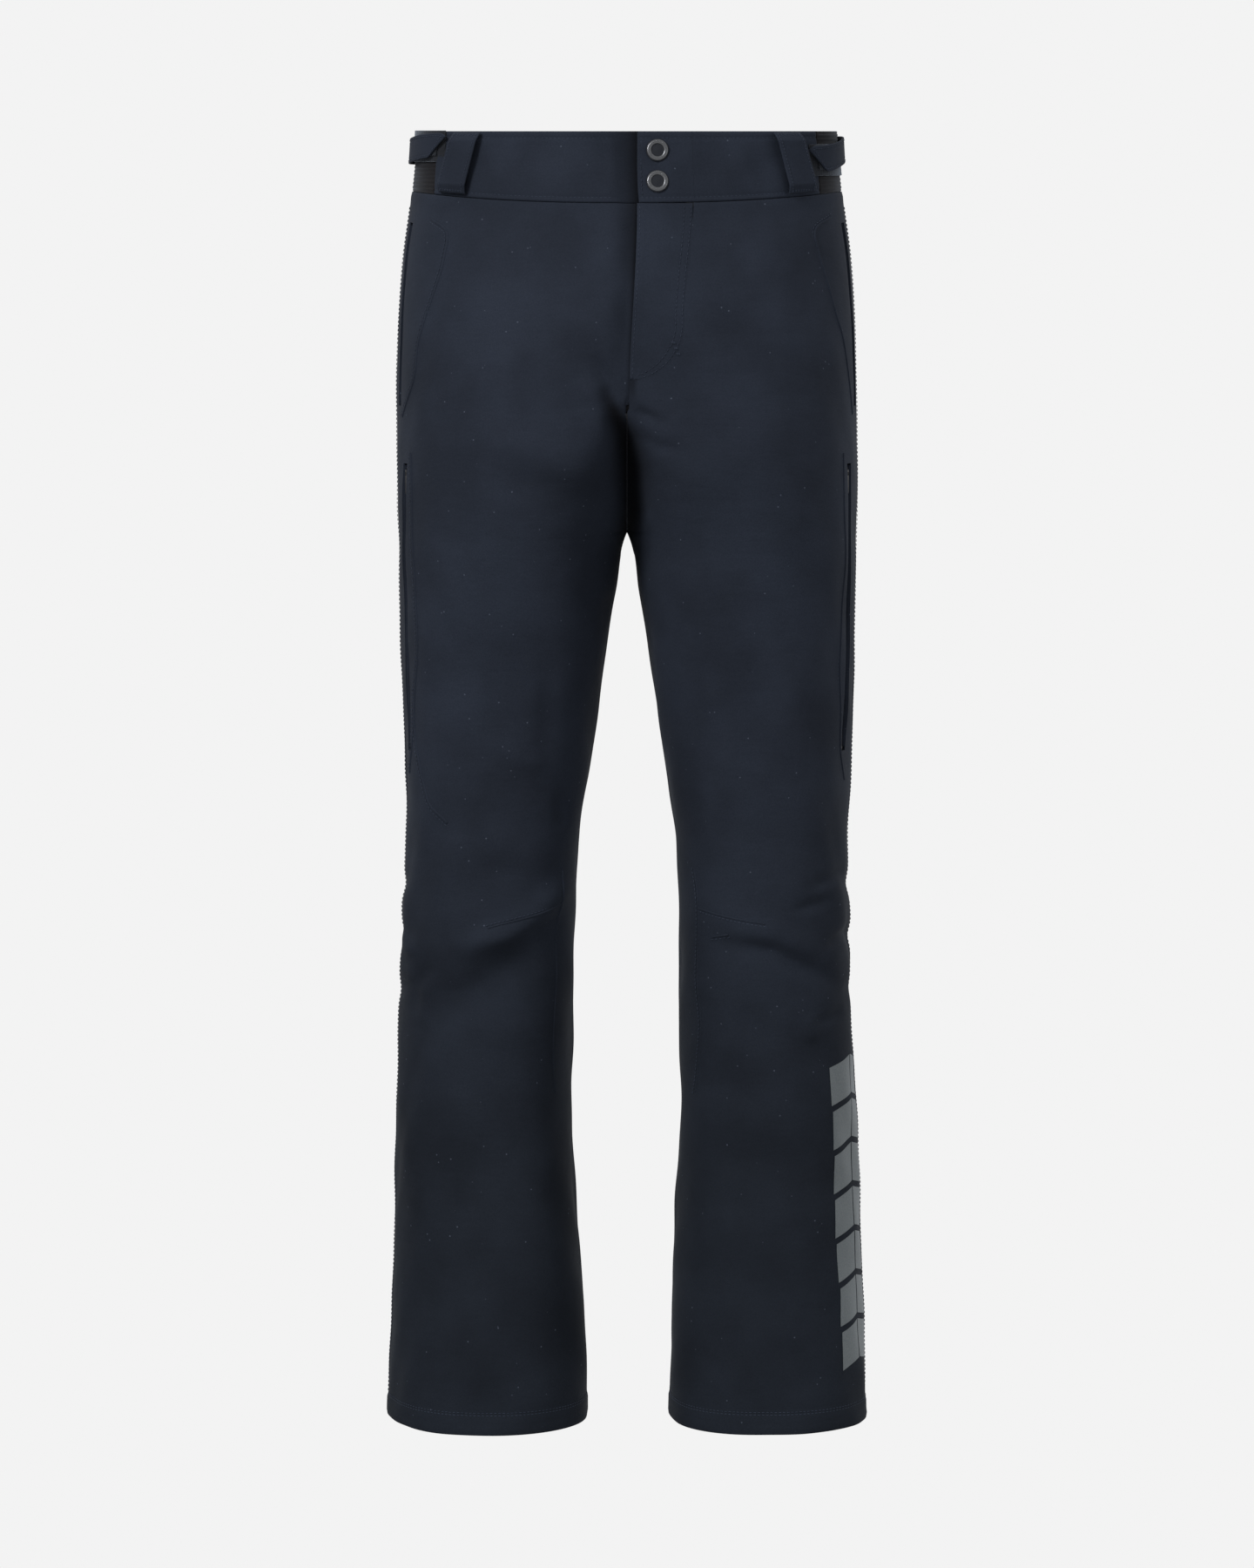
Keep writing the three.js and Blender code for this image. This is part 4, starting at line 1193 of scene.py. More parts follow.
def rounded(radius, low, high, fillet, inner=0.0):
    """A turned profile with a rounded outer rim between two heights."""
    turns = [math.pi / 2 * k / 4 for k in range(5)]
    bottom = [(radius - fillet + fillet * math.sin(t), low + fillet - fillet * math.cos(t))
              for t in turns]
    top = [(radius - fillet + fillet * math.cos(t), high - fillet + fillet * math.sin(t))
           for t in turns]
    return [(inner, low), *bottom, *top, (inner, high)]


def snap_cap(word, drop):
    origin, axis = snap_frame(drop)
    rim = lathe(f"{word}_snap_rim", rounded(9.0, 1.15, 1.9, 0.35), origin, axis)
    crown = [(4.9, 1.6), (8.3, 1.6), (8.5, 2.0), (8.2, 2.5), (7.6, 2.75), (5.9, 2.75),
             (5.3, 2.5), (4.9, 1.9), (4.9, 1.6)]
    crown = lathe(f"{word}_snap_cap_dome", crown, origin, axis)
    centre = lathe(f"{word}_snap_centre", [(0, 1.2), (5.2, 1.2), (5.2, 1.75), (4.2, 1.65),
                   (3.6, 1.75), (2.8, 2.0), (0, 2.15)], origin, axis, 32)
    dots = []
    turn = Vector((0, 0, 1)).rotation_difference(Vector(axis))
    for k in range(18):
        a = 2 * math.pi * k / 18
        at = Vector(origin) + turn @ Vector((6.85 * MM * math.cos(a), 6.85 * MM * math.sin(a), 2.72 * MM))
        dots.append(lathe(f"{word}_dot_{k}", [(0, -0.2), (0.42, -0.1), (0.34, 0.14), (0, 0.22)],
                          at, axis, 8))
    stem = lathe(f"{word}_snap_stem", [(0, -2.3), (2.0, -2.3), (2.0, 1.4), (0, 1.4)], origin, axis, 24)
    declare(centre, material_called("snap_core"), (), "fly_lap")
    cap = joined([crown, *dots, stem], f"{word}_snap_ring")
    declare(cap, material_called("bright_metal"), [f"{word}_snap_cap"], "fly_lap")
    declare(rim, material_called("snap_core"), (), "fly_lap")
    socket = lathe(f"{word}_snap_socket_ring", [
        (2.4, -3.4), (5.2, -3.4), (5.6, -3.1), (5.6, -2.75), (5.3, -2.6), (2.4, -2.6), (2.4, -3.4),
    ], origin, axis, 32)
    declare(socket, material_called("dark_metal"), [f"{word}_snap_socket"], "fly_lap")
    stud = lathe(f"{word}_snap_stud_post", [
        (0, -4.45), (5.3, -4.45), (5.6, -4.3), (5.5, -4.0), (2.4, -3.9), (1.9, -3.5), (1.9, -3.0),
        (1.5, -2.85), (0, -2.85),
    ], origin, axis, 32)
    declare(stud, material_called("dark_metal"), [f"{word}_snap_stud"], "seat")


class PANTS_OT_fly(Operator):
    """Make the fly flap, the waistband's overlap, the snaps and the shield behind the zip"""

    bl_idname = "pants.fly"
    bl_label = "Fly and Snaps"

    def execute(self, context):
        shell = material_called("shell_cloth")

        def flap(u, z, offset):
            edge, root = flap_edge(z), fly_border(z) - 0.00008
            return front_point(edge + u * np.maximum(root - edge, 0.0006), z, offset)

        us = eased(0, 1, 22, 0.05)
        vs = np.unique(np.concatenate([
            eased(-0.0563, -0.15, 44, 0.0012), np.linspace(-0.15, -FLAP_FOOT, 50)]))[::-1]

        def flap_lift(u, z):
            return 0.0004 * np.exp(-(((u - 0.1) / 0.06) ** 2))

        obj = soft_sheet("fly_flap_cloth", flap, us, vs, CLOTH, radius=0.0007, lift=flap_lift,
                         open_end=True)
        start = (0.052, -0.11, -0.056)
        bend = ("seat", "fly_lap", start, (start[0] - 0.023, start[1], start[2] + 0.007))
        declare(obj, shell, ["fly_flap"], bend=bend)
        rows = []
        z = np.arange(-0.060, -FLAP_FOOT + 0.001, -0.001)
        for inset in (0.0016, 0.0068):
            x = np.maximum(fly_border(z) - inset, flap_edge(z) + 0.002)
            rows.append(front_point(x, np.minimum(z + inset * 0.5 * (z < -0.17), z + 0.002), 0.0004))
        rows.append(front_point(flap_edge(z) + 0.0022, z, 0.0004))
        bar = np.linspace(0, 1, 16)
        for shift in np.linspace(-0.0012, 0.0012, 5):
            rows.append(front_point(0.0365 + 0.004 * bar + shift, -0.1655 - 0.009 * bar, 0.0006))
        stitches("fly_stitches", rows, bend=bend)

        us = eased(LAP_EDGE, FLAP_ROOT, 20, 0.002)
        lap = soft_sheet("waistband_lap", band_surface(-1), us, BAND_ROWS, BAND_CLOTH,
                         radius=0.0016, lift=padded_band, open_end=True)
        declare(lap, shell, ["waistband_overlap"], "fly_lap")
        u = np.arange(LAP_EDGE + 0.003, FLAP_ROOT - 0.002, 0.001)
        surface = band_surface(-1)
        lines = [surface(u, u * 0 + share, padded_band(u, u * 0 + share) + 0.0001)
                 for share in (0.1, 0.93)]
        v = np.linspace(0.1, 0.93, 60)
        lines.append(surface(np.full_like(v, LAP_EDGE + 0.003), v, padded_band(v * 0, v) + 0.0001))
        stitches("lap_stitches", lines, body="fly_lap")
        for word, drop in SNAP_DROPS:
            snap_cap(word, drop)

        low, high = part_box("fly_shield")

        def shield_lift(x, z):
            return -0.0034 - 0.0104 * smooth(x, -0.020, -0.007)

        us = np.linspace(-0.027, 0.045, 40)
        vs = np.linspace(high[2] - 0.001, low[2] + 0.001, 70)
        obj = soft_sheet("fly_guard", front_point, us, vs, CLOTH, radius=0.0007, lift=shield_lift)
        declare(obj, material_called("lining_cloth"), ["fly_shield"], "seat")
        return {"FINISHED"}


# ---- belt loops ------------------------------------------------------------------------

LOOPS = (("left_front", 0.1255, -1), ("right_front", -0.1255, -1), ("back", 0.0, 1))
LOOP_WIDTH, LOOP_STAND, LOOP_CLOTH, LOOP_SLANT = 0.021, 0.0046, 0.0019, 0.012


class PANTS_OT_loops(Operator):
    """Make the belt loops with their folded edges and bar tacks"""

    bl_idname = "pants.loops"
    bl_label = "Belt Loops"

    def execute(self, context):
        for name, x, face in LOOPS:
            def surface(u, v, offset, x=x, face=face):
                place = x + np.sign(x) * LOOP_SLANT * v + (u - 0.5) * LOOP_WIDTH
                foot = band_foot(band_angle(place)) + 0.0015
                z = -0.001 + v * (foot + 0.001)
                side = np.where(place < 0, -1.0, 1.0)
                return skin_point(side, face * angle_at(np.abs(place), z), z, offset)

            def arch(u, v):
                stand = np.minimum(1, np.sin(math.pi * v) * 2.4) ** 0.8 * LOOP_STAND
                hem = 0.0003 * np.exp(-(((np.abs(u - 0.5) - 0.4) / 0.05) ** 2))
                return 0.0016 + stand + hem + LOOP_CLOTH

            loop = soft_sheet(f"{name}_loop", surface, eased(0, 1, 18, 0.08),
                              eased(0, 1, 60, 0.02), LOOP_CLOTH, radius=0.0009, lift=arch)
            declare(loop, material_called("shell_cloth"),
                    [f"{name}_belt_loop"], "seat")
            v = np.linspace(0.03, 0.97, 60)
            rows = [surface(v * 0 + u, v, arch(u, v) + 0.0002) for u in (0.1, 0.9)]
            across = np.linspace(0.12, 0.88, 24)
            for share in (0.035, 0.05, 0.95, 0.965):
                rows.append(surface(across, across * 0 + share, arch(across, share) + 0.0002))
            stitches(f"{name}_loop_stitches", rows, body="seat", pitch=0.0026)
        return {"FINISHED"}


# ---- adjuster tabs ---------------------------------------------------------------------

TAB_FRONT, TAB_ROOT = -32.0, 14.0
TAB_LEAN = {1: (-0.0225, -0.015), -1: (-0.0115, -0.0165)}


class PANTS_OT_tabs(Operator):
    """Make the waist adjuster tabs with their hook and loop patches"""

    bl_idname = "pants.tabs"
    bl_label = "Adjuster Tabs"

    def execute(self, context):
        shell, fuzz = material_called("shell_cloth"), material_called("hook_and_loop")
        for side, word in SIDES:
            def place(degrees, z, offset, side=side):
                return skin_point(side, np.radians(degrees), z, offset)

            front, root = TAB_LEAN[side]

            def tab(u, v, offset, front=front, root=root, place=place):
                share = (u - TAB_FRONT) / (TAB_ROOT - TAB_FRONT)
                middle = front + (root - front) * smooth(share, 0.0, 0.75)
                corner = np.clip(1 - share / 0.07, 0, 1)
                half = 0.0103 - 0.0032 * corner**2 + 0.0006 * smooth(share, 0.5, 1)
                lean = u + 8.0 * (v - 0.5) * (1 - smooth(share, 0, 0.35))
                return place(lean, middle + (0.5 - v) * 2 * half, offset)

            def tab_height(u, v):
                down = smooth(u, TAB_ROOT - 9, TAB_ROOT - 3)
                return 0.0035 - 0.0026 * down + 0.0017 - 0.0003 * np.exp(
                    -(((np.abs(v - 0.5) - 0.37) / 0.03) ** 2))

            obj = soft_sheet(f"{word}_tab", tab, eased(TAB_FRONT, TAB_ROOT, 70, 0.9),
                             eased(0, 1, 22, 0.06), 0.0017, radius=0.0009, lift=tab_height)
            declare(obj, shell, [f"{word}_adjuster_tab"], f"{word}_tab")
            u = np.linspace(TAB_FRONT + 1.4, TAB_ROOT - 2, 90)
            rows = [tab(u, u * 0 + v, tab_height(u, v) + 0.0002) for v in (0.11, 0.89)]
            v = np.linspace(0.11, 0.89, 14)
            rows.append(tab(v * 0 + TAB_FRONT + 1.4, v, tab_height(TAB_FRONT, v) + 0.0002))
            for back in (3.2, 5.2):
                rows.append(tab(v * 0 + TAB_ROOT - back, v, tab_height(TAB_ROOT - back, v) + 0.0002))
            stitches(f"{word}_tab_stitches", rows, body=f"{word}_tab", pitch=0.003)

            patches = (
                ("hook", 0.0022, TAB_FRONT + 1.8, TAB_FRONT + 17, 0.0075, f"{word}_tab"),
                ("loop", 0.0004, TAB_FRONT - 2.5, TAB_ROOT - 15, 0.0125, "seat"),
            )
            for kind, foot, low, high, half, body in patches:
                def patch(u, v, offset, half=half, front=front, place=place):
                    return place(u, front - 0.0005 + (0.5 - v) * 2 * half, offset)

                def pile(u, v, foot=foot):
                    rough = 0.0002 * np.sin(u * 9.1 + 31 * v) * np.sin(v * 61 + u * 3.3)
                    return foot + 0.0008 + rough

                obj = soft_sheet(f"{word}_{kind}_pile", patch, eased(low, high, 60, 0.5),
                                 eased(0, 1, 30, 0.04), 0.0008, radius=0.0004, lift=pile)
                declare(obj, fuzz, [f"{word}_{kind}_patch"], body)
        return {"FINISHED"}


# ---- zips ------------------------------------------------------------------------------

ZIPS = (("left_pocket", 0.140), ("right_pocket", 0.140), ("left_vent", 0.226),
        ("right_vent", 0.226), ("fly", 0.138))
TAPE_HALF, TAPE_TAIL = 0.012, 0.009
TOOTH_PITCH = 0.0022


def zip_place(name):
    """A matrix from a zip's own axes (across, out, up; origin at the top of its teeth)."""
    slide, swing = JOINTS[name + "_zip_slide"], JOINTS[name + "_pull_swing"]
    up = -Vector(slide["axis"]).normalized()
    across = Vector(swing["axis"]).normalized()
    out = up.cross(across).normalized()
    if out.dot(Vector(swing["pos_m"]) * Vector((1, 1, 0))) < 0:
        across.negate()
        out.negate()
    origin = Vector(swing["pos_m"]) + up * 0.002 - out * 0.0033
    return Matrix((across, out, up)).transposed().to_4x4(), origin


def zip_matrix(name):
    turn, origin = zip_place(name)
    return Matrix.Translation(origin) @ turn


def extruded(name, outline, low, high, matrix, bevel=0.0002, segments=3):
    """A plate from an outline (across, up) between two heights, with softened edges."""
    edit = bmesh.new()
    bottom = [edit.verts.new((x, low, z)) for x, z in outline]
    top = [edit.verts.new((x, high, z)) for x, z in outline]
    edit.faces.new(bottom)
    edit.faces.new(top[::-1])
    count = len(outline)
    for k in range(count):
        j = (k + 1) % count
        edit.faces.new((bottom[k], top[k], top[j], bottom[j]))
    bmesh.ops.recalc_face_normals(edit, faces=edit.faces)
    if bevel:
        sharp = [e for e in edit.edges if e.calc_face_angle(0) > 0.5]
        bmesh.ops.bevel(edit, geom=sharp, offset=bevel, segments=segments, affect="EDGES",
                        profile=0.5, clamp_overlap=True)
    bmesh.ops.transform(edit, matrix=matrix, verts=edit.verts)
    bmesh.ops.recalc_face_normals(edit, faces=edit.faces)
    mesh = bpy.data.meshes.new(name)
    edit.to_mesh(mesh)
    edit.free()
    obj = bpy.data.objects.new(name, mesh)
    bpy.context.scene.collection.objects.link(obj)
    return obj


def rounded_outline(half, top, foot, radius, parts=4, nose=0.0):
    """A rectangle with rounded corners, narrowed by nose at its foot."""
    points = []
    corners = ((half, top, 0), (-half, top, 90), (-half + nose, foot, 180), (half - nose, foot, 270))
    for x, z, start in corners:
        cx = x - math.copysign(radius, x)
        cz = z - math.copysign(radius, z - (top + foot) / 2)
        for k in range(parts + 1):
            a = math.radians(start + 90 * k / parts)
            points.append((cx + radius * math.cos(a), cz + radius * math.sin(a)))
    return points


def tooth_tree():
    """Geometry nodes that set a small moulded tooth at every point of a zip's chain."""
    tree = bpy.data.node_groups.new("Zip Teeth", "GeometryNodeTree")
    face = tree.interface
    face.new_socket("Geometry", in_out="INPUT", socket_type="NodeSocketGeometry")
    face.new_socket("Tooth Size", in_out="INPUT", socket_type="NodeSocketVector")
    face.new_socket("Turn", in_out="INPUT", socket_type="NodeSocketRotation")
    face.new_socket("Plastic", in_out="INPUT", socket_type="NodeSocketMaterial")
    face.new_socket("Geometry", in_out="OUTPUT", socket_type="NodeSocketGeometry")
    n, link = tree.nodes, tree.links.new
    inputs, outputs = n.new("NodeGroupInput"), n.new("NodeGroupOutput")
    points = n.new("GeometryNodeMeshToPoints")
    tooth = n.new("GeometryNodeMeshUVSphere")
    tooth.inputs["Segments"].default_value = 8
    tooth.inputs["Rings"].default_value = 5
    tooth.inputs["Radius"].default_value = 0.5
    grow = n.new("GeometryNodeTransform")
    place = n.new("GeometryNodeInstanceOnPoints")
    real = n.new("GeometryNodeRealizeInstances")
    paint = n.new("GeometryNodeSetMaterial")
    link(inputs.outputs["Geometry"], points.inputs["Mesh"])
    link(tooth.outputs["Mesh"], grow.inputs["Geometry"])
    link(inputs.outputs["Tooth Size"], grow.inputs["Scale"])
    link(points.outputs[0], place.inputs["Points"])
    link(grow.outputs[0], place.inputs["Instance"])
    link(inputs.outputs["Turn"], place.inputs["Rotation"])
    link(place.outputs[0], real.inputs[0])
    link(real.outputs[0], paint.inputs["Geometry"])
    link(inputs.outputs["Plastic"], paint.inputs["Material"])
    link(paint.outputs[0], outputs.inputs[0])
    return tree


# Where a facing meets its tape: across from the zip's middle, and out of its plane.
FACING_FOOT = (0.0051, 0.0006)
# The stays behind a side zip's ends: half width, depth, reach past the opening's end, and how
# far the upper and the lower one run.
STAY_HALF, STAY_DEPTH, STAY_REACH = 0.008, 0.0076, 0.005
STAYS = (("top", 1, 0.03), ("foot", -1, 0.013))


def slot_facings(name, length, matrix):
    """Turned-in cloth from a side zip's opening down to its tapes, and stays behind its ends."""
    side = 1 if name.startswith("left") else -1
    slot = POCKET if name.endswith("pocket") else VENT
    turn, shift = np.array(matrix.to_3x3()), np.array(matrix.translation)
    strips = []
    for s in (1, -1):
        def facing(u, t, offset, s=s):
            local = np.stack([0 * t + s * FACING_FOOT[0], 0 * t + FACING_FOOT[1], t], -1)
            foot = local @ turn.T + shift
            z = foot[..., 2]
            half = SLOT_HALF / arc_rate(side, -slot["angle"], z) + 0.0002
            edges = [cloth_point(side, -slot["angle"] + k * half, z, -0.0005) for k in (1, -1)]
            gaps = [np.linalg.norm(e - foot, axis=-1).mean() for e in edges]
            edge = edges[int(np.argmin(gaps))]
            ahead = turn[:, 2]
            across = np.cross(foot - edge, ahead)
            across /= np.linalg.norm(across, axis=-1, keepdims=True)
            return edge + (foot - edge) * u[..., None] + across * np.asarray(offset)[..., None]

        strips.append(soft_sheet(f"{name}_facing_{s}", facing, np.linspace(0, 1, 6),
                                 np.linspace(0.001, -length - 0.001, 80), 0.0004, radius=0.0002))
    for end, ahead, run in STAYS:
        def stay(u, v, offset, end=end, ahead=ahead):
            z = slot[end] + ahead * STAY_REACH - ahead * v
            return cloth_point(side, -slot["angle"] + u / arc_rate(side, -slot["angle"], z), z,
                               offset)

        strips.append(soft_sheet(f"{name}_stay_{end}", stay,
                                 np.linspace(-STAY_HALF, STAY_HALF, 12),
                                 np.linspace(0, run, 16), 0.0005, radius=0.0002,
                                 lift=lambda u, v: -STAY_DEPTH + 0 * u))
    facings = joined(strips, f"{name}_slot_facings")
    declare(facings, material_called("shell_cloth"), (), "seat")


def zip_pieces(name, length):
    matrix = zip_matrix(name)
    reach = TAPE_HALF - 0.0002
    tapes = []
    for s in (1, -1):
        us = np.linspace(0.0028, reach, 14) * s
        vs = np.linspace(0, -length - TAPE_TAIL, 110)

        def tape(u, v, offset, matrix=matrix):
            flat = np.stack([u, np.asarray(offset) + 0 * u, v], -1)
            turn = np.array(matrix.to_3x3())
            return flat @ turn.T + np.array(matrix.translation)

        def bead(u, v):
            return 0.0003 + 0.0009 * np.exp(-(((np.abs(u) - 0.0032) / 0.0006) ** 2))

        tapes.append(soft_sheet(f"{name}_tape_{s}", tape, us, vs, 0.0006, radius=0.0003, lift=bead))
    obj = joined(tapes, f"{name}_zip_tapes")
    declare(obj, material_called("zip_tape"), [name + "_zip_tape"], "seat")

    if name != "fly":
        slot_facings(name, length, matrix)
    count = int(length / TOOTH_PITCH)
    verts = []
    for k in range(count):
        s = 1 if k % 2 else -1
        verts.append(matrix @ Vector((s * 0.0009, 0, -0.001 - k * TOOTH_PITCH)))
    mesh = bpy.data.meshes.new(name + "_chain")
    mesh.from_pydata([tuple(v) for v in verts], [], [])
    wire = bpy.data.objects.new(name + "_chain", mesh)
    bpy.context.scene.collection.objects.link(wire)
    tree = bpy.data.node_groups.get("Zip Teeth") or tooth_tree()
    turn, _ = zip_place(name)
    plastic = material_called("zip_teeth")
    teeth = run_nodes(wire, tree, {
        "Tooth Size": (0.0032, 0.0023, 0.0019), "Turn": turn.to_euler(), "Plastic": plastic,
    }, name + "_teeth_row")
    stop = extruded(name + "_stop", rounded_outline(0.0026, -length - 0.0004, -length - 0.0032, 0.0006),
                    -0.0013, 0.0013, matrix)
    for polygon in stop.data.polygons:
        polygon.use_smooth = False
    obj = joined([teeth, stop], name + "_zip_chain")
    declare(obj, plastic, [name + "_zip_teeth"], "seat")

    metal = material_called("dark_metal")
    body = rounded_outline(0.0045, -0.0002, -0.0138, 0.0022, 5, 0.0010)
    plates = [
        extruded(name + "_front_plate", body, 0.00146, 0.0025, matrix, 0.0004, 3),
        extruded(name + "_back_plate", body, -0.0025, -0.00146, matrix, 0.0004, 3),
        extruded(name + "_wedge", rounded_outline(0.0005, -0.0008, -0.006, 0.0003), -0.002, 0.002,
                 matrix, 0),
    ]
    for s in (1, -1):
        rail = [(s * 0.0043, -0.0125), (s * 0.0043, -0.0015), (s * 0.0037, -0.0015), (s * 0.0037, -0.0125)]
        plates.append(extruded(f"{name}_rim_{s}", rail, 0.0009, 0.0023, matrix, 0))
    slider = joined(plates, name + "_zip_slider_body")
    declare(slider, metal, [name + "_zip_slider"], name + "_slider")
    outline = rounded_outline(0.0025, -0.0022, -0.0218, 0.0012, 5)
    pull = extruded(name + "_tab", outline, 0.00278, 0.0037, matrix, 0.0003, 3)
    cutter = extruded(name + "_cut", rounded_outline(0.0013, -0.004, -0.007, 0.0006), 0.002, 0.005,
                      matrix, 0)
    hole = pull.modifiers.new("eye", "BOOLEAN")
    hole.object = cutter
    hole.operation = "DIFFERENCE"
    graph = bpy.context.evaluated_depsgraph_get()
    mesh = bpy.data.meshes.new_from_object(pull.evaluated_get(graph))
    pull.modifiers.clear()
    pull.data = mesh
    bpy.data.objects.remove(cutter)
    ribs = [pull]
    for k in range(5):
        z = -0.0115 - k * 0.0018
        rib = rounded_outline(0.0017, z, z - 0.0008, 0.0003)
        ribs.append(extruded(f"{name}_rib_{k}", rib, 0.0035, 0.0039, matrix, 0.0001, 2))
    pull = joined(ribs, name + "_zip_pull_tab")
    declare(pull, metal, [name + "_zip_pull"], name + "_pull")


class PANTS_OT_zips(Operator):
    """Make the pocket, vent and fly zips"""

    bl_idname = "pants.zips"
    bl_label = "Zips"

    def execute(self, context):
        for name, length in ZIPS:
            zip_pieces(name, length)
        return {"FINISHED"}


# ---- pocket bags, gaiters and the printed graphic --------------------------------------

# The pocket pouch: drops of its ends, its middle angle, its depth behind the cloth, its wall,
# and the turn at which its mouth lies, with half the mouth's width.
POUCH_TOP, POUCH_FOOT = 0.075, 0.231
POUCH_MIDDLE, POUCH_DEPTH, POUCH_WALL = -35, 0.0136, 0.0009
POUCH_MOUTH, POUCH_GAP = 0.916, 0.19


def pocket_pouch(side, word):
    """A soft bag of two walls round the hand's room, open along the zip that it hangs from."""
    def wall(turn, drop, offset):
        share = (drop - POUCH_TOP) / (POUCH_FOOT - POUCH_TOP)
        full = np.sqrt(np.clip(1 - np.abs(2 * share - 1) ** 6, 0, 1))
        across, deep = np.cos(turn), np.sin(turn)
        half = 27 + 4 * full
        degrees = POUCH_MIDDLE + half * signed_power(across, 0.6)
        swell = 0.001 + 0.0038 * full + 0.0004 * np.sin(drop * 190 + 3 * turn) * full
        end = POUCH_MOUTH + POUCH_GAP
        near = np.minimum(np.abs(turn - end), np.abs(turn - 2 * math.pi + end - 2 * POUCH_MOUTH))
        lip = 0.0042 * (1 - smooth(near, 0.0, 0.16)) * full
        depth = -POUCH_DEPTH + swell * signed_power(deep, 0.8) + lip + offset * deep
        angle = np.radians(degrees) + offset * across / 0.11
        return cloth_point(side, angle, -drop, depth)

    turns = np.linspace(POUCH_MOUTH + POUCH_GAP, 2 * math.pi + POUCH_MOUTH - POUCH_GAP, 150)
    drops = eased(POUCH_TOP, POUCH_FOOT, 64, 0.004)
    return soft_sheet(f"{word}_pocket_pouch", wall, turns, drops, POUCH_WALL, radius=0.0004)


class PANTS_OT_linings(Operator):
    """Make the pocket bags and the inner boot gaiters"""

    bl_idname = "pants.linings"
    bl_label = "Pocket Bags and Gaiters"

    def execute(self, context):
        lining = material_called("lining_cloth")
        for side, word in SIDES:
            bag = pocket_pouch(side, word)
            declare(bag, lining, [f"{word}_pocket_bag"], "seat")

            def tube(angle, drop, offset, side=side):
                return cloth_point(side, angle, -drop, offset)

            def lean(angle, drop):
                share = smooth(drop, 0.874, 0.922)
                elastic = smooth(drop, 1.012, 1.02)
                pucker = 0.0011 * np.sin(angle * 42) * smooth(drop, 0.96, 1.02)
                return -0.0021 - 0.0128 * share + pucker * (1 - 0.3 * elastic)

            us = np.linspace(0, 2 * math.pi, 181)[:-1]
            vs = eased(0.8625, 1.0395, 70, 0.0015)
            obj = soft_sheet(f"{word}_snow_gaiter", tube, us, vs, CLOTH, True, 0.0007, lean)
            declare(obj, lining, [f"{word}_gaiter"], f"{word}_shin")
            rows = []
            for drop in (1.014, 1.035, 0.8665):
                d = np.full_like(us, drop)
                rows.append(tube(us, d, lean(us, d) + 0.0002))
            stitches(f"{word}_gaiter_stitches", rows, body=f"{word}_shin")
        return {"FINISHED"}


def ink_patch(name, corners):
    """A thin printed patch on the left shin between four (angle, drop) corners."""
    (a0, d0), (a1, d1), (a2, d2), (a3, d3) = corners

    def surface(s, t, offset):
        degrees = (1 - t) * ((1 - s) * a0 + s * a1) + t * ((1 - s) * a3 + s * a2)
        drop = (1 - t) * ((1 - s) * d0 + s * d1) + t * ((1 - s) * d3 + s * d2)
        return cloth_point(1, -np.radians(degrees), -drop * MM, offset)

    return soft_sheet(name, surface, np.linspace(0, 1, 14), np.linspace(0, 1, 12), 0.00018,
                      radius=0.00001, lift=lambda s, t: 0.0004 + 0 * s)


class PANTS_OT_graphic(Operator):
    """Make the printed pattern of plain chevrons on the outer left shin"""

    bl_idname = "pants.graphic"
    bl_label = "Shin Graphic"

    def execute(self, context):
        patches = []
        drops = np.linspace(748, 1004, 8)
        for k, (top, foot) in enumerate(zip(drops[:-1], drops[1:])):
            front = 50 - 7 * k / 6
            gap, rise = 5.0, 7.0
            middle = 24.0
            a = [(front, top + rise), (middle + 0.6, top), (middle + 0.6, foot - gap),
                 (front, foot - gap + rise)]
            b = [(middle - 0.6, top), (3, top + rise), (3, foot - gap + rise),
                 (middle - 0.6, foot - gap)]
            patches += [ink_patch(f"ink_a{k}", a), ink_patch(f"ink_b{k}", b)]
        graphic = joined(patches, "left_shin_graphic")
        declare(graphic, material_called("print_ink"), (), "left_shin")
        return {"FINISHED"}


# ---- stage -----------------------------------------------------------------------------

FLOOR_SIZE, FLOOR_HEIGHT = 60, -1.4
# The soft light all round: where each sun shines from, and its share of the room's light.
SUNS = ((0.0, -1.0, 0.55, 1.0), (0.3, 1.0, 0.4, 1.5), (0.0, -0.1, -1.0, 0.3))
SUN_SPREAD = math.radians(150)
# The lamps: name, place, share of the main lamp's power, and width.
LAMPS = (
    ("key", (-1.9, -2.4, 1.7), 1.0, 1.1),
    ("fill", (2.4, -2.2, 0.2), 0.09, 2.0),
    ("rim_left", (-1.9, 2.2, 1.2), 0.1, 1.0),
    ("rim_right", (1.9, 2.3, 0.8), 0.1, 1.0),
)
LAMP_TARGET = Vector((0, 0, -0.5))
CAMERA_LENS, CAMERA_BACK, CAMERA_PITCH = 129.94, 4.6, math.radians(83.42)


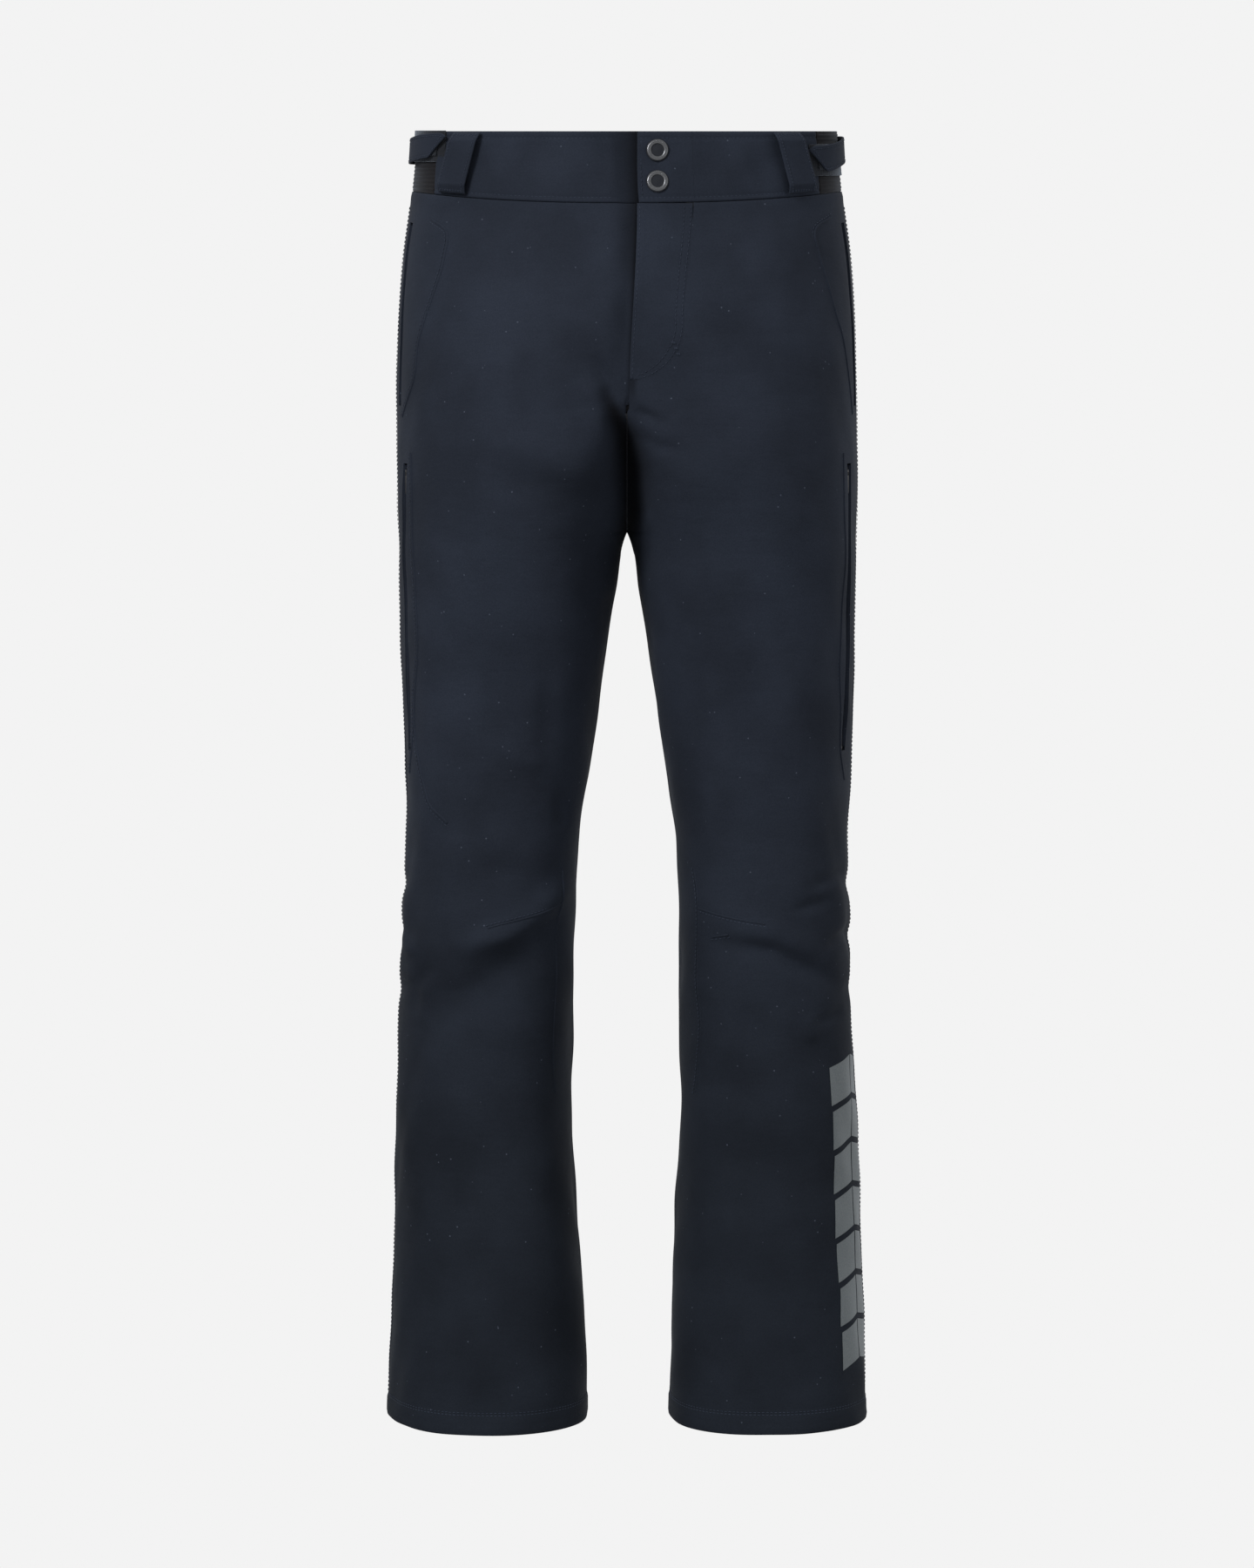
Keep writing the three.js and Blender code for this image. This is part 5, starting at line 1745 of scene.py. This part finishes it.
class PANTS_OT_stage(Operator):
    """Make the pale floor, the soft studio lights and the camera"""

    bl_idname = "pants.stage"
    bl_label = "Stage"

    def execute(self, context):
        looks = context.scene.pants_looks
        pale = tuple(looks.backdrop) + (1,)
        corners = [(x * FLOOR_SIZE, y * FLOOR_SIZE, FLOOR_HEIGHT)
                   for x, y in ((-1, -1), (1, -1), (1, 1), (-1, 1))]
        mesh = bpy.data.meshes.new("floor")
        mesh.from_pydata(corners, [], [(0, 1, 2, 3)])
        floor = bpy.data.objects.new("floor", mesh)
        context.scene.collection.objects.link(floor)
        material, nodes, links = new_material("backdrop")
        nodes.remove(nodes["Principled BSDF"])
        glow = nodes.new("ShaderNodeEmission")
        glow.inputs["Color"].default_value = pale
        links.new(glow.outputs[0], nodes["Material Output"].inputs["Surface"])
        mesh.materials.append(material)
        # The floor and the world show as a plain backdrop only; the suns and lamps give the light.
        floor.visible_diffuse = False
        floor.visible_glossy = False
        world = bpy.data.worlds.new("studio")
        world.use_nodes = True
        world.node_tree.nodes["Background"].inputs["Color"].default_value = pale
        context.scene.world = world
        world.cycles_visibility.diffuse = False
        world.cycles_visibility.glossy = False
        for index, (x, y, z, share) in enumerate(SUNS):
            glow = bpy.data.lights.new(f"room_{index + 1}", "SUN")
            glow.energy = looks.room_light * share
            glow.angle = SUN_SPREAD
            holder = bpy.data.objects.new(glow.name, glow)
            holder.rotation_euler = Vector((-x, -y, -z)).to_track_quat("-Z", "Y").to_euler()
            context.scene.collection.objects.link(holder)
        context.scene.view_settings.view_transform = "Standard"
        context.scene.view_settings.look = "None"
        for name, place, share, width in LAMPS:
            lamp = bpy.data.lights.new(name, "AREA")
            lamp.energy = looks.key_power * share
            lamp.shape = "DISK"
            lamp.size = width
            holder = bpy.data.objects.new(name, lamp)
            holder.location = place
            aim = LAMP_TARGET - Vector(place)
            holder.rotation_euler = aim.to_track_quat("-Z", "Y").to_euler()
            context.scene.collection.objects.link(holder)
        lens = bpy.data.cameras.new("camera")
        lens.lens = CAMERA_LENS
        lens.sensor_width = 36
        lens.sensor_fit = "AUTO"
        lens.clip_end = 200
        camera = bpy.data.objects.new("camera", lens)
        camera.location = (0, -CAMERA_BACK, 0)
        camera.rotation_euler = (CAMERA_PITCH, 0, 0)
        context.scene.collection.objects.link(camera)
        context.scene.camera = camera
        return {"FINISHED"}


# ---- settings, panel and registration --------------------------------------------------

def color_setting(name, text, value):
    return FloatVectorProperty(
        name=name, description=text, default=value, subtype="COLOR", min=0, max=1, size=3)


class PantsLooks(PropertyGroup):
    """Colours and light of the ski pants"""

    shell: color_setting("Shell", "Outer cloth", (0.0143, 0.0182, 0.0278))
    # Lower leg: the shell's colour painted darker, as painted shade for the weaker light below the knee.
    shin: color_setting("Lower leg", "Outer cloth below the knee", (0.0102, 0.0132, 0.0192))
    stretch: color_setting("Stretch", "Elastic waist panels", (0.007, 0.0062, 0.0068))
    lining: color_setting("Lining", "Pocket bags, guard and gaiters", (0.035, 0.038, 0.046))
    trim: color_setting("Trim", "Zip tapes and tape backing", (0.016, 0.017, 0.021))
    print_ink: color_setting("Print", "Ink of the shin graphic", (0.12, 0.136, 0.145))
    snap_ring: color_setting("Snap", "Plated snap ring", (0.13, 0.134, 0.143))
    backdrop: color_setting("Backdrop", "Floor and background", (0.896, 0.896, 0.896))
    room_light: FloatProperty(
        name="Room light", description="Strength of the soft light all round", default=1.75, min=0)
    key_power: FloatProperty(
        name="Key light", description="Power of the main lamp", default=96.0, min=0, unit="POWER")


OPERATORS = (
    PANTS_OT_stage, PANTS_OT_legs, PANTS_OT_tapes, PANTS_OT_waistband, PANTS_OT_fly, PANTS_OT_loops,
    PANTS_OT_tabs, PANTS_OT_zips, PANTS_OT_linings, PANTS_OT_graphic,
)


class PANTS_PT_panel(Panel):
    """Lists the settings and the makers of each piece"""

    bl_label = "Ski Pants"
    bl_idname = "PANTS_PT_panel"
    bl_space_type = "VIEW_3D"
    bl_region_type = "UI"
    bl_category = "Ski Pants"

    def draw(self, context):
        for name in PantsLooks.__annotations__:
            self.layout.prop(context.scene.pants_looks, name)
        for maker in OPERATORS:
            self.layout.operator(maker.bl_idname)


CLASSES = (PantsLooks, *OPERATORS, PANTS_PT_panel)


def register():
    for each in CLASSES:
        bpy.utils.register_class(each)
    bpy.types.Scene.pants_looks = PointerProperty(type=PantsLooks)


def unregister():
    del bpy.types.Scene.pants_looks
    for each in reversed(CLASSES):
        bpy.utils.unregister_class(each)


def main():
    register()
    for maker in OPERATORS:
        getattr(bpy.ops.pants, maker.bl_idname.split(".")[1])()


if __name__ == "__main__":
    main()
